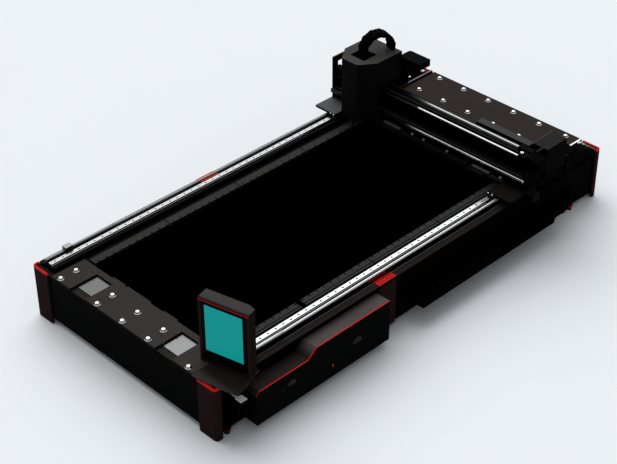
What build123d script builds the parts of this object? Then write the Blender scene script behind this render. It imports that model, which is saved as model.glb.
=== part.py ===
from build123d import *
import os
from math import atan2, cos, pi, radians, sin, tan

# Gantry laser cutting machine: a slatted bed in a low frame, rails and screws along both sides,
# a channel gantry with a hooded laser head, a tilting screen and a control box on the right side.
# Millimetres. The front is -Y, the right is +X, and the machine stands on Z 0.

# Frame
frame_width = 680.0
frame_length = 1442.0
post_rise = 5.0
post_front = 60.0
post_side = 20.0
post_wall = 6.0
post_round = 10.0
cap_height = 5.0
beam_width = 59.0
beam_bottom = 15.0
beam_wall = 4.0
flange_width = 21.5
left_flange_trim = 5.5
flange_thick = 8.0
lip_gap = 4.0
lip_wall = 2.5
lip_height = 10.0
trough_floor = 150.0
pedestal_width = 26.0
pedestal_height = 14.0
motor_bay = 151.0
motor_shelf = 136.0
panel_wall = 4.0
beam_flange = 75.0
middle_post_length = 62.0
middle_post_gap = 5.0
middle_cap = 2.0

# Decks, with windows open to the front
deck_thick = 8.0
deck_overhang = 3.0
deck_side_gap = 13.0
deck_tail_gap = 3.0
deck_tail_start = 141.0
front_deck_depth = 102.0
rear_deck_depth = 332.0
window_width = 60.0
window_depth = 84.0
window_edge = 102.0
pad_width = 52.0
pad_length = 60.0
pad_thick = 2.5
pad_gap = 1.0
head_radius = 9.0
head_sides = 8
head_taper = 48.0
head_rim = 2.0
head_height = 5.0
front_column_step = 65.0
front_column_edge = 24.0
front_row_near = 13.0
front_row_far = 60.0
rear_column_middle = 47.0
rear_column_between = 140.0
rear_column_edge = 28.0
rear_row_far = 20.0
rear_row_near = 112.0
rear_window_row = 27.0

# Bed
bed_clearance = 0.3
pan_wall = 3.0
pan_floor = 58.0
pan_rim = 147.0
pan_lip = 44.0
strip_inset = 41.0
strip_width = 25.0
strip_thick = 5.0
strip_gap = 3.0
strip_count = 4
slats_per_strip = 10
slat_thick = 2.0
slat_height = 40.0
slat_slot = 3.0
slat_slot_depth = 8.0
slat_ear = 7.0
slat_end_gap = 1.0
stop_height = 5.0
stop_depth = 9.0
left_stop_start = -157.0
left_stop_length = 47.0
middle_stop_start = -103.0
middle_stop_length = 90.0
right_stop_start = 35.0
right_stop_length = 50.0

# Feet under the side beams
round_sides = 12
foot_radius = 10.0
foot_rim = 2.0
foot_taper = 20.5
foot_waist = 7.0
foot_pad_height = 5.0
foot_inset = 4.0
front_foot_y = 40.0
rear_foot_y = 110.0

# Rails and screws along the sides
rail_width = 12.0
rail_height = 8.0
rail_groove = 1.0
rail_groove_rise = 2.2
rail_groove_slope = 1.0
rail_inset = 15.8
left_rail_start = 21.0
right_rail_start = 123.0
profile_step = 3.0
rail_end_gap = 4.0
carriage_width = 27.0
carriage_length = 45.4
carriage_lift = 3.0
carriage_height = 13.0
carriage_fit = 0.05
screw_radius = 4.0
screw_offset = 10.0
screw_rise = 7.0
screw_fit = 0.05
left_bearing_start = 81.0
right_bearing_start = 124.0
bearing_length = 22.0
bearing_half = 8.0
bearing_rise = 11.0
lip_clearance = 1.0
journal_length = 4.0
left_journal_length = 59.0
sleeve_radius = 5.5
sleeve_bore_gap = 0.3
sleeve_end = 241.0
side_gap = 1.5
stem_gap = 0.5
screw_end_gap = 0.5
motor_size = 57.0
motor_length = 42.0
motor_bevel = 5.0
bracket_thick = 10.0
cover_rise = 36.0
cover_width = 38.0
cover_inset = 2.5
cover_gap = 1.0
cheek_thick = 6.0

# Control box on the right side, outline in Y from the frame's front and in Z
box_front = 89.0
box_length = 446.0
box_reach = 47.0
box_bottom = 21.0
box_low_top = 118.0
box_high_top = 140.0
box_bevel = 10.0
box_slope_start = 256.0
box_slope_run = 28.0
box_wall = 3.0
panel_thick = 3.0
trim_height = 1.6
port_depth = 2.0
slot_y = 171.0
slot_z = 76.0
slot_length = 19.0
slot_height = 4.0
socket_y = 202.0
socket_z = 83.0
socket_length = 26.0
socket_height = 9.0
vent_y = 421.0
vent_z = 83.0
vent_length = 31.0
vent_height = 10.0
key_y = 334.0
key_z = 58.0
key_radius = 6.0
key_length = 16.0
key_proud = 4.0
key_fit = 0.08
key_barrel_wall = 3.0
inlet_width = 26.0
inlet_height = 24.0
inlet_proud = 1.5
supply_length = 190.0
supply_height = 70.0
supply_depth = 28.0
board_length = 130.0
board_height = 60.0
board_thick = 4.0
inside_gap = 12.0

# Air regulator under the wing
regulator_y = 56.0
regulator_reach = 32.0
regulator_half = 10.5
regulator_base = 101.0
regulator_height = 14.0
bowl_radius = 14.0
bowl_depth = 32.0
bowl_bevel = 5.0
bowl_taper = 40.0
regulator_arm = 10.0

# Screen on its turned base plate
screen_corner_x = 102.0
screen_corner_y = 50.0
screen_angle = 13.5
screen_width = 136.0
screen_height = 182.0
screen_depth = 36.0
screen_gap = 0.6
screen_bevel = 8.0
screen_bevel_run = 20.0
screen_heel = 14.0
screen_wall = 4.0
screen_foot = 26.0
bezel_thick = 3.0
bezel_top_gap = 7.0
screen_trim_height = 1.5
glass_width = 103.0
glass_height = 130.0
glass_rise = 37.0
glass_gap = 0.2
glass_inset = 1.0
base_front = 60.0
base_right = 5.0
base_back = 38.0
base_corner = 10.0
base_seam = 0.4
knuckle_width = 60.0
knuckle_gap = 0.5
knuckle_radius = 6.0
knuckle_room = 3.0
pin_radius = 3.0
pin_fit = 0.05
pin_length = 100.0
pin_end_gap = 1.0
pin_inset = 7.0
pin_rise = 7.5

# Cable chain and tray on the right side
tray_gap = 51.0
tray_tail = 31.0
tray_reach = 54.0
tray_floor = 55.0
tray_thick = 4.0
tray_lip = 11.0
tray_back = 45.0
long_chain_width = 38.0
long_chain_height = 20.0
long_chain_pitch = 28.0
long_chain_radius = 42.5
long_chain_upper = 125.0
long_chain_start = 68.0
chain_side_gap = 10.0
chain_plate = 2.0
chain_bar = 2.0
chain_bar_share = 0.5
chain_gap = 0.4
chain_lug = 0.2
chain_bevel = 0.3

# Gantry, placed by the front edge of its foot plates
gantry_back_step = 89.0
foot_plate_length = 134.0
foot_plate_thick = 7.0
foot_plate_inner_gap = 5.0
foot_plate_reach = 17.0
carriage_inset = 3.0
carriage_step = 57.0
nut_length = 24.0
nut_inset = 2.0
nut_half = 9.0
nut_drop = 15.0
arm_length = 28.0
arm_inset = 64.0
end_plate_thick = 6.0
end_plate_reach = 12.0
end_plate_front = 63.0
left_end_height = 133.0
end_window_front = 18.0
end_window_width = 46.0
end_window_base = 61.0
end_window_height = 55.0
beam_lift = 6.0
beam_depth = 61.0
gantry_beam_height = 87.0
gantry_wall = 6.0
front_lip_height = 34.0
top_flange_depth = 36.0
lower_rail_rise = 23.0
lower_rail_overlap = 2.0
upper_rail_inset = 23.0
upper_rail_end_gap = 6.0
cross_screw_front = 12.0
cross_screw_drop = 2.0
cross_bearing_length = 24.0
cross_bearing_half = 12.0
cross_hole_gap = 2.0
rail_slot_gap = 0.5
rail_stop_gap = 1.0
rail_stop_length = 45.0
rail_stop_half = 9.5
rail_stop_roof = 5.0
cross_motor_size = 42.0
cross_motor_length = 40.0
cross_motor_bevel = 4.0
shelf_length = 180.0
shelf_end_gap = 28.0
shelf_depth = 24.0
shelf_height = 12.0
shelf_gap = 1.5
junction_inset = 33.0
junction_width = 52.0
junction_depth = 83.0
junction_height = 84.0
junction_wall = 3.0
chain_shelf_drop = 79.2
chain_shelf_depth = 44.0
chain_shelf_thick = 4.0
chain_shelf_flange = 10.0

# Laser head
head_from_end = 127.0
hood_width = 124.0
hood_front_width = 58.0
hood_front_step = 6.0
hood_bevel_run = 46.0
hood_depth = 147.0
hood_bottom = 202.0
hood_top = 380.0
hood_back_bottom = 300.0
hood_wall = 3.0
hood_back_start = 58.0
hood_mouth_width = 52.0
hood_mouth_front = 31.0
hood_mouth_length = 50.0
head_fit = 0.2
head_plate_thick = 8.0
head_plate_bottom = 200.0
head_top_thick = 6.0
cross_carriage_step = 52.0
cross_nut_length = 32.0
cross_nut_half = 9.0
lift_rail_width = 12.0
lift_rail_depth = 8.0
lift_rail_bottom = 206.0
lift_rail_top = 288.0
lift_fit = 0.05
lift_slide_half = 18.0
lift_slide_front = 17.0
lift_slide_back = 4.0
lift_slide_bottom = 222.0
lift_slide_height = 40.0
lift_arm_reach = 44.0
lift_arm_height = 8.0
lift_rod_x = 34.0
lift_rod_radius = 2.0
lift_rod_length = 70.0
lift_motor_size = 20.0
lift_motor_bevel = 2.0
lift_motor_bottom = 262.0
lift_motor_height = 30.0
laser_half = 22.0
laser_depth = 25.0
laser_bottom = 214.0
laser_height = 86.0
nozzle_radius = 14.0
nozzle_skirt = 14.0
nozzle_length = 42.0
nozzle_taper = 19.0
nozzle_bore = 1.5
bore_sides = 6
guide_gap = 1.0
guide_left = 35.0
guide_right = 126.0
guide_stem = 34.0
guide_depth = 45.0
guide_height = 64.0
guide_arm = 20.0
guide_round = 24.0
guide_wall = 3.0
loop_width = 34.0
loop_height = 9.5
loop_radius = 45.0
loop_pitch = 12.5
loop_front_leg = 47.0
loop_turn = 18.6
loop_aside = 14.0
loop_centre_back = 95.5
loop_centre_rise = 12.0
cross_chain_width = 24.0
cross_chain_height = 22.0
cross_chain_pitch = 26.0
cross_chain_radius = 33.0
cross_chain_upper = 135.0
cross_chain_hold = 19.0
cross_chain_end_gap = 8.0

DIRECTIONS = {"x": (1, 0, 0), "y": (0, 1, 0), "z": (0, 0, 1)}
nodes = {}


def add(name, *shapes):
    """Keep the solids of one node."""
    nodes[name] = [solid for shape in shapes for solid in shape.solids()]


def at(axis, station, a, b):
    """Point at a station of one axis, with the other two coordinates in X, Y, Z order."""
    return {"x": (station, a, b), "y": (a, station, b), "z": (a, b, station)}[axis]


def prism(axis, start, end, outline):
    """Closed straight-sided outline swept along one axis."""
    corners = [at(axis, start, a, b) for a, b in outline]
    face = make_face(Polyline(*corners, close=True))
    return extrude(face, amount=end - start, dir=DIRECTIONS[axis])


def block(x, y, z):
    """Box between two values on each axis."""
    spans = (x, y, z)
    centre = [(low + high) / 2 for low, high in spans]
    size = [high - low for low, high in spans]
    return Pos(*centre) * Box(*size)


def around(centre, half):
    """Span of a size on both sides of a centre."""
    return (centre - half, centre + half)


def rod(axis, radius, start, end, a, b):
    """Round bar along one axis."""
    plane = Plane(origin=at(axis, start, a, b), z_dir=DIRECTIONS[axis])
    return plane * Cylinder(radius, end - start, align=(Align.CENTER, Align.CENTER, Align.MIN))


def both(shape):
    """A shape and its mirror image on the other side."""
    return [shape, mirror(shape, about=Plane.YZ)]


def four(shape):
    """A shape at all four corners."""
    return [copy for side in both(shape) for copy in (side, mirror(side, about=Plane.XZ))]


def faceted_plug(radius, sides, straight, tapered, taper):
    """Upright many-sided plug with a tapered end."""
    outline = RegularPolygon(radius, sides)
    return extrude(outline, amount=straight) + extrude(Pos(0, 0, straight) * outline, amount=tapered, taper=taper)


def bevelled_bar(axis, start, end, a, b, size, bevel):
    """Square bar with bevelled corners, the body of a stepping motor."""
    half = size / 2
    inner = half - bevel
    outline = [(half, -inner), (half, inner), (inner, half), (-inner, half)]
    outline += [(-p, -q) for p, q in outline]
    return prism(axis, start, end, [(a + p, b + q) for p, q in outline])


# Lines that the pieces share
half_width = frame_width / 2
front = -frame_length / 2
rear = frame_length / 2
beam_out = half_width - post_wall
beam_in = beam_out - beam_width
beam_start = front + post_wall + panel_wall
deck_top = trough_floor + deck_thick
flange_top = trough_floor + flange_thick
post_height = trough_floor + post_rise
flange_in = half_width - flange_width
left_edge = half_width - left_flange_trim
lip_out = flange_in - lip_gap
lip_in = lip_out - lip_wall
pedestal_out = beam_in + pedestal_width
pedestal_top = trough_floor + pedestal_height
bay_start = rear - post_wall - panel_wall - motor_bay
deck_front = front + post_wall - deck_overhang
bed_front = front + post_wall + beam_flange
bed_rear = rear - deck_overhang - rear_deck_depth
box_start = front + box_front
box_end = box_start + box_length
rail_x = beam_in + rail_inset
carriage_top = pedestal_top + carriage_height
screw_x = pedestal_out + screw_offset
screw_z = pedestal_top + screw_rise


# Frame
def corner_post(bottom, top):
    """Rounded angle at the right front corner."""
    outline = [
        (half_width, front),
        (half_width, front + post_side),
        (beam_out, front + post_side),
        (beam_out, front + post_wall),
        (half_width - post_front, front + post_wall),
        (half_width - post_front, front),
    ]
    angle = prism("z", bottom, top, outline)
    upright = angle.edges().filter_by(Axis.Z)
    corner = upright.sort_by(lambda edge: edge.center().X - edge.center().Y)[-1]
    return fillet(corner, post_round)


middle_start = box_end + middle_post_gap
middle_span = (middle_start, middle_start + middle_post_length)
middle_post = block((beam_out, half_width), middle_span, (beam_bottom, trough_floor))
add("frame_posts", *four(corner_post(0, post_height - cap_height)), *both(middle_post))

flange_cap_z = (flange_top, flange_top + middle_cap)
right_cap = block((flange_in, half_width), middle_span, flange_cap_z)
left_cap = block((-left_edge, -flange_in), middle_span, flange_cap_z)
trough_cap = block((pedestal_out, lip_in), middle_span, (trough_floor, trough_floor + middle_cap))
corner_cap = corner_post(post_height - cap_height, post_height)
add("red_caps", *four(corner_cap), left_cap, right_cap, *both(trough_cap))


def channel_beam(back):
    """Front beam: an upright panel with flanges that carry the deck and tie the side beams."""
    panel = block((-beam_out, beam_out), (front + post_wall, beam_start), (beam_bottom, trough_floor))
    depth = (beam_start, back)
    top = block((-beam_in, beam_in), depth, (trough_floor - panel_wall, trough_floor))
    bottom = block((-beam_in, beam_in), depth, (beam_bottom, beam_bottom + panel_wall))
    return panel + top + bottom


front_beam = channel_beam(bed_front)
add("end_beams", front_beam, mirror(front_beam, about=Plane.XZ))

cross_depth = (bed_rear, bed_rear + window_depth)
cross_web = block((-beam_in, beam_in), (bed_rear, bed_rear + panel_wall), (beam_bottom, trough_floor))
cross_top = block((-beam_in, beam_in), cross_depth, (trough_floor - panel_wall, trough_floor))
cross_bottom = block((-beam_in, beam_in), cross_depth, (beam_bottom, beam_bottom + panel_wall))
add("cross_beam", cross_web + cross_top + cross_bottom)


def rail_beam(start, end, flange_out):
    """Hollow side beam with the rail's pedestal, the screw's trough and its lip, and an outer flange."""
    outline = [
        (beam_in, beam_bottom),
        (beam_out, beam_bottom),
        (beam_out, trough_floor),
        (flange_out, trough_floor),
        (flange_out, flange_top),
        (flange_in, flange_top),
        (flange_in, trough_floor),
        (lip_out, trough_floor),
        (lip_out, trough_floor + lip_height),
        (lip_in, trough_floor + lip_height),
        (lip_in, trough_floor),
        (pedestal_out, trough_floor),
        (pedestal_out, pedestal_top),
        (beam_in, pedestal_top),
    ]
    hollow_x = (beam_in + beam_wall, beam_out - beam_wall)
    hollow = block(hollow_x, (start, end), (beam_bottom + beam_wall, trough_floor - beam_wall))
    return prism("y", start, end, outline) - hollow


def plain_beam(start, end, top):
    """Hollow side beam without the rail's pedestal."""
    hollow_x = (beam_in + beam_wall, beam_out - beam_wall)
    hollow = block(hollow_x, (start, end), (beam_bottom + beam_wall, top - beam_wall))
    return block((beam_in, beam_out), (start, end), (beam_bottom, top)) - hollow


beam_tail = plain_beam(bay_start, -beam_start, motor_shelf)
left_profile = front + post_side
right_profile = front + right_rail_start - profile_step
left_nose = plain_beam(beam_start, left_profile, trough_floor)
right_nose = plain_beam(beam_start, right_profile, post_height)
left_beam = left_nose + rail_beam(left_profile, bay_start, left_edge) + beam_tail
add("left_beam", mirror(left_beam, about=Plane.YZ))
add("right_beam", right_nose + rail_beam(right_profile, bay_start, half_width) + beam_tail)

# Decks
deck_half = beam_in - deck_side_gap
tail_half = beam_in - deck_tail_gap
window_x = deck_half - window_edge


def windows(edge):
    """Cuts for the two windows that open at a deck's front edge."""
    span = (edge - deck_overhang, edge + window_depth)
    cut = block(around(window_x, window_width / 2), span, (trough_floor, deck_top))
    return both(cut)


def window_pads(edge):
    """Bright pads at the back of the two windows."""
    back = edge + window_depth - pad_gap
    height = (trough_floor, trough_floor + pad_thick)
    return both(block(around(window_x, pad_width / 2), (back - pad_length, back), height))


front_span = (deck_front, deck_front + front_deck_depth)
front_plate = block((-deck_half, deck_half), front_span, (trough_floor, deck_top))
add("front_deck", front_plate - windows(deck_front))

rear_edge = rear - deck_overhang
tail_start = rear_edge - deck_tail_start
rear_plate = block((-deck_half, deck_half), (bed_rear, tail_start), (trough_floor, deck_top))
tail_plate = block((-tail_half, tail_half), (tail_start, rear_edge), (trough_floor, deck_top))
add("rear_deck", rear_plate + tail_plate - windows(bed_rear))
add("window_pads", *window_pads(deck_front), *window_pads(bed_rear))


def deck_screw(x, y):
    """Faceted button head on a deck."""
    head = faceted_plug(head_radius, head_sides, head_rim, head_height - head_rim, head_taper)
    return Pos(x, y, deck_top) * head


def mirrored_columns(columns):
    """Column places on both sides, with the middle one once."""
    return sorted({side * x for x in columns for side in (-1, 1)})


front_outer = deck_half - front_column_edge
front_columns = mirrored_columns((0.0, window_x - front_column_step, front_outer))
front_places = [(x, front + row) for x in front_columns for row in (front_row_near, front_row_far)]
front_places.remove((front_outer, front + front_row_far))
rear_outer = deck_half - rear_column_edge
rear_columns = mirrored_columns((rear_column_middle, rear_column_between, rear_outer))
rear_places = [(x, rear_edge - row) for x in rear_columns for row in (rear_row_far, rear_row_near)]
window_columns = mirrored_columns((rear_column_middle, rear_outer))
rear_places += [(x, bed_rear + rear_window_row) for x in window_columns]
add("deck_screws", *[deck_screw(x, y) for x, y in front_places + rear_places])

# Bed
pan_half = beam_in - bed_clearance
pan_mouth = beam_in - pan_lip
pan_top_bottom = pan_rim - pan_wall
pan_outline = [
    (-pan_half, pan_floor),
    (pan_half, pan_floor),
    (pan_half, pan_rim),
    (pan_mouth, pan_rim),
    (pan_mouth, pan_top_bottom),
    (pan_half - pan_wall, pan_top_bottom),
    (pan_half - pan_wall, pan_floor + pan_wall),
    (pan_wall - pan_half, pan_floor + pan_wall),
    (pan_wall - pan_half, pan_top_bottom),
    (-pan_mouth, pan_top_bottom),
    (-pan_mouth, pan_rim),
    (-pan_half, pan_rim),
]
pan_front = bed_front + bed_clearance
pan_rear = bed_rear - bed_clearance
pan_end = block((-pan_half, pan_half), (pan_front, pan_front + pan_wall), (pan_floor, pan_rim))
pan_tail = block((-pan_half, pan_half), (pan_rear - pan_wall, pan_rear), (pan_floor, pan_rim))
stop_back = deck_front + front_deck_depth + stop_depth
ledge = block((-pan_mouth, pan_mouth), (pan_front, stop_back), (pan_top_bottom, pan_rim))
add("bed_pan", prism("y", pan_front, pan_rear, pan_outline) + pan_end + pan_tail + ledge)

strip_start = stop_back + slat_slot
strip_pitch = (bed_rear - strip_start) / strip_count
slat_pitch = strip_pitch / slats_per_strip
strip_top = pan_rim + strip_thick
strip_inner = beam_in - strip_inset


def slat_strip(index):
    """Holder strip with slots on its inner edge."""
    start = strip_start + index * strip_pitch
    outer = strip_inner + strip_width
    strip = block((strip_inner, outer), (start, start + strip_pitch - strip_gap), (pan_rim, strip_top))
    slot_span = (strip_inner - slat_slot_depth, strip_inner + slat_slot_depth)
    for step in range(slats_per_strip):
        middle = start + (step + 0.5) * slat_pitch
        strip -= block(slot_span, around(middle, slat_slot / 2), (pan_rim, strip_top))
    return strip


def bed_slat(index):
    """Upright blade whose ears stand on the pan's rim, in the strips' slots."""
    blade_half = pan_mouth - slat_end_gap
    ear_half = strip_inner + slat_ear
    outline = [
        (-blade_half, strip_top - slat_height),
        (blade_half, strip_top - slat_height),
        (blade_half, pan_rim),
        (ear_half, pan_rim),
        (ear_half, strip_top),
        (-ear_half, strip_top),
        (-ear_half, pan_rim),
        (-blade_half, pan_rim),
    ]
    middle = strip_start + (index + 0.5) * slat_pitch
    return prism("y", middle - slat_thick / 2, middle + slat_thick / 2, outline)


def front_stop(start, length):
    """Short bar behind the front deck that work is pushed against."""
    depth = (stop_back - stop_depth, stop_back)
    return block((start, start + length), depth, (pan_rim, pan_rim + stop_height))


strips = [copy for index in range(strip_count) for copy in both(slat_strip(index))]
left_stop = front_stop(left_stop_start, left_stop_length)
middle_stop = front_stop(middle_stop_start, middle_stop_length)
right_stop = front_stop(right_stop_start, right_stop_length)
add("slat_strips", *strips, left_stop, middle_stop, right_stop)
add("bed_slats", *[bed_slat(index) for index in range(strip_count * slats_per_strip)])

# Feet
foot_places = [
    (side * (beam_out - foot_inset), y)
    for side in (-1, 1)
    for y in (front + front_foot_y, rear - rear_foot_y)
]


def foot(x, y):
    """Tapered foot under a side beam."""
    height = beam_bottom - foot_pad_height
    plug = faceted_plug(foot_radius, round_sides, foot_rim, height - foot_rim, foot_taper)
    return Location((x, y, beam_bottom), (180, 0, 0)) * plug


add("levelling_feet", *[foot(x, y) for x, y in foot_places])
foot_pad = extrude(RegularPolygon(foot_waist, round_sides), amount=foot_pad_height)
add("foot_pads", *[Pos(x, y, 0) * foot_pad for x, y in foot_places])


# Rails, screws and motors along the sides
def rail_outline(middle, base, out):
    """Section of a guide rail: middle on one axis, base and direction on the other."""
    half = rail_width / 2
    waist = half - rail_groove
    rise = rail_groove_rise
    low = [(half, 0), (half, rise), (waist, rise + rail_groove_slope)]
    high = [(w, rail_height - h) for w, h in reversed(low)]
    right = [(w, out * h) for w, h in low + high]
    left = [(-w, h) for w, h in reversed(right)]
    return [(middle + w, base + h) for w, h in right + left]


def carriage_outline(middle, base, out):
    """Section of a carriage that runs over a rail with a small fit all round."""
    half = carriage_width / 2
    channel = rail_width / 2 + carriage_fit
    roof = rail_height + carriage_fit
    right = [(channel, roof), (channel, carriage_lift), (half, carriage_lift), (half, carriage_height)]
    left = [(-w, h) for w, h in reversed(right)]
    return [(middle + w, base + out * h) for w, h in right + left]


rail_end = bay_start - rail_end_gap
rail_section = rail_outline(rail_x, pedestal_top, 1)
left_rail = mirror(prism("y", front + left_rail_start, rail_end, rail_section), about=Plane.YZ)
right_rail = prism("y", front + right_rail_start, rail_end, rail_section)
add("side_rails", left_rail, right_rail)

lip_clear = trough_floor + lip_height + lip_clearance
carriage_side = rail_x + carriage_width / 2
stem_span = (carriage_side + side_gap, lip_in - stem_gap)


def screw_bearing(start):
    """Upright block in the trough that carries the front of a screw."""
    span = (start, start + bearing_length)
    stem = block(stem_span, span, (trough_floor, screw_z))
    housing = block(around(screw_x, bearing_half), span, (lip_clear, screw_z + bearing_rise))
    bore = rod("y", screw_radius + screw_fit, start, start + bearing_length, screw_x, screw_z)
    return stem + housing - bore


def screw_sleeve(start):
    """Tube over the plain front part of a screw, on a rib in the trough."""
    end = front + sleeve_end
    rib = block(stem_span, (start, end), (trough_floor, screw_z))
    tube = rod("y", sleeve_radius, start, end, screw_x, screw_z)
    bore = rod("y", screw_radius + sleeve_bore_gap, start, end, screw_x, screw_z)
    return tube + rib - bore


left_bearing = front + left_bearing_start
right_bearing = front + right_bearing_start
left_supports = [screw_bearing(left_bearing), screw_sleeve(left_bearing + bearing_length)]
right_supports = [screw_bearing(right_bearing), screw_sleeve(right_bearing + bearing_length)]
add("screw_supports", *[mirror(support, about=Plane.YZ) for support in left_supports], *right_supports)

motor_face = bay_start + bracket_thick
motor_back = motor_face + motor_length
screw_back = motor_face - screw_end_gap
long_screw = rod("y", screw_radius, left_bearing - left_journal_length, screw_back, screw_x, screw_z)
short_screw = rod("y", screw_radius, right_bearing - journal_length, screw_back, screw_x, screw_z)
add("left_screw", mirror(long_screw, about=Plane.YZ))
add("right_screw", short_screw)

bracket_x = around(screw_x, motor_size / 2)
bracket = block(bracket_x, (bay_start, motor_face), (motor_shelf, screw_z + motor_size / 2))
bracket -= rod("y", screw_radius + screw_fit, bay_start, motor_face, screw_x, screw_z)
add("motor_brackets", *both(bracket))

motor_body = bevelled_bar("y", motor_face, motor_back, screw_x, screw_z, motor_size, motor_bevel)
cover_base = screw_z - motor_size / 2 + motor_bevel
cover_run = rear - post_side - cover_gap - motor_back
cover_arc = EllipticalCenterArc((0, 0), cover_run, cover_rise, start_angle=0, arc_size=90)
cover_face = make_face([Line((0, 0), (cover_run, 0)), cover_arc, Line((0, cover_rise), (0, 0))])
cover_left = screw_x + motor_size / 2 - cover_inset - cover_width
cover_plane = Plane(origin=(cover_left, motor_back, cover_base), x_dir=(0, 1, 0), z_dir=(1, 0, 0))
motor_cover = extrude(cover_plane * cover_face, amount=cover_width)
add("side_motors", *both(motor_body + motor_cover))

cheek_x = (beam_in, beam_in + cheek_thick)
cheek = block(cheek_x, (bay_start, -beam_start), (motor_shelf, pedestal_top))
add("motor_cheeks", *both(cheek))

# Control box
box_side = beam_out + box_reach
panel_side = box_side - panel_thick
slope_start = front + box_slope_start
slope_end = slope_start + box_slope_run
box_top_line = [
    (box_start, box_low_top - box_bevel),
    (box_start + box_bevel, box_low_top),
    (slope_start, box_low_top),
    (slope_end, box_high_top),
    (box_end, box_high_top),
]


def box_outline(margin):
    """Side view of the box, drawn in by a margin."""
    inner_start = box_start + margin
    inner_end = box_end - margin
    bevel_foot = box_low_top - box_bevel - margin * tan(pi / 8)
    middle = [(y, z - margin) for y, z in box_top_line[1:-1]]
    top = [(inner_start, bevel_foot), *middle, (inner_end, box_high_top - margin)]
    floor = box_bottom + margin
    return [(inner_end, floor), *reversed(top), (inner_start, floor)]


box_hollow = prism("x", beam_out + box_wall, panel_side, box_outline(box_wall))
inlet_z = around((box_bottom + box_high_top) / 2, inlet_height / 2)
inlet_x = around((beam_out + panel_side) / 2, inlet_width / 2)
inlet_cut = block(inlet_x, (box_end - box_wall, box_end), inlet_z)
add("control_box", prism("x", beam_out, panel_side, box_outline(0)) - box_hollow - inlet_cut)

low_line = [(y, z - trim_height) for y, z in box_top_line]
panel_outline = [(box_end, box_bottom), *reversed(low_line), (box_start, box_bottom)]
panel = prism("x", panel_side, box_side, panel_outline)
ports = (
    (slot_y, slot_z, slot_length, slot_height),
    (socket_y, socket_z, socket_length, socket_height),
    (vent_y, vent_z, vent_length, vent_height),
)


def port(values):
    """Insert that fills a rectangular port, set back from the panel's face."""
    y, z, length, height = values
    depth = (panel_side, panel_side + port_depth)
    return block(depth, around(front + y, length / 2), around(z, height / 2))


for values in ports:
    y, z, length, height = values
    panel -= block((panel_side, box_side), around(front + y, length / 2), around(z, height / 2))
key_place = (front + key_y, key_z)
panel -= rod("x", key_radius + key_fit, panel_side, box_side, *key_place)
add("control_panel", panel)
add("control_trim", prism("x", panel_side, box_side, [*box_top_line, *reversed(low_line)]))

key_back = box_side + key_proud - key_length
barrel = rod("x", key_radius + key_barrel_wall, key_back - key_proud, panel_side, *key_place)
barrel -= rod("x", key_radius + key_fit, key_back - key_proud, panel_side, *key_place)
inlet = block(inlet_x, (box_end - box_wall, box_end + inlet_proud), inlet_z)
add("control_ports", *[port(values) for values in ports], barrel, inlet)
add("power_key", rod("x", key_radius, key_back, box_side + key_proud, *key_place))

inside_x = beam_out + box_wall
supply_y = (box_end - inside_gap - supply_length, box_end - inside_gap)
inside_z = box_bottom + inside_gap
supply = block((inside_x, inside_x + supply_depth), supply_y, (inside_z, inside_z + supply_height))
board_y = (box_start + inside_gap, box_start + inside_gap + board_length)
board = block((inside_x, inside_x + board_thick), board_y, (inside_z, inside_z + board_height))
add("control_electronics", supply, board)

# Air regulator on an arm of the right beam
regulator_x = beam_out + regulator_reach
regulator_place = front + regulator_y
regulator_top = regulator_base + regulator_height
regulator_span = around(regulator_place, regulator_half)
regulator = block(around(regulator_x, regulator_half), regulator_span, (regulator_base, regulator_top))
arm_span = around(regulator_place, regulator_arm / 2)
arm_z = around((regulator_base + regulator_top) / 2, regulator_arm / 2)
regulator += block((beam_out, regulator_x), arm_span, arm_z)
add("air_regulator", regulator)
bowl = faceted_plug(bowl_radius, round_sides, bowl_depth - bowl_bevel, bowl_bevel, bowl_taper)
add("regulator_bowl", Location((regulator_x, regulator_place, regulator_base), (180, 0, 0)) * bowl)

# Screen, drawn square to its own front edge and then turned into place
screen_place = Location((half_width - screen_corner_x, front + screen_corner_y, 0), (0, 0, screen_angle))
screen_bottom = deck_top + screen_gap
screen_top = deck_top + screen_height
base_top = deck_top
base_outline = [
    (-base_front, -base_front),
    (screen_width + base_right, -base_front),
    (screen_width + base_right, -base_corner),
    (screen_width, 0),
    (screen_width, base_back),
    (-base_front, base_back),
]
base_plate = prism("z", post_height, base_top, base_outline)
base_room = block((deck_half + base_seam, frame_width), (front, 0), (0, frame_width))
base = (screen_place * base_plate) & base_room
pin_y = screen_depth - pin_inset
pin_z = base_top + pin_rise
knuckle_x = around(screen_width / 2, knuckle_width / 2)
knuckle = rod("x", knuckle_radius, *knuckle_x, pin_y, pin_z)
knuckle += block(knuckle_x, around(pin_y, knuckle_radius), (base_top, pin_z))
knuckle -= rod("x", pin_radius + pin_fit / 2, *knuckle_x, pin_y, pin_z)
add("screen_base", base + screen_place * knuckle)
pin_x = around(screen_width / 2, pin_length / 2)
add("hinge_pin", screen_place * rod("x", pin_radius, *pin_x, pin_y, pin_z))

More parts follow.
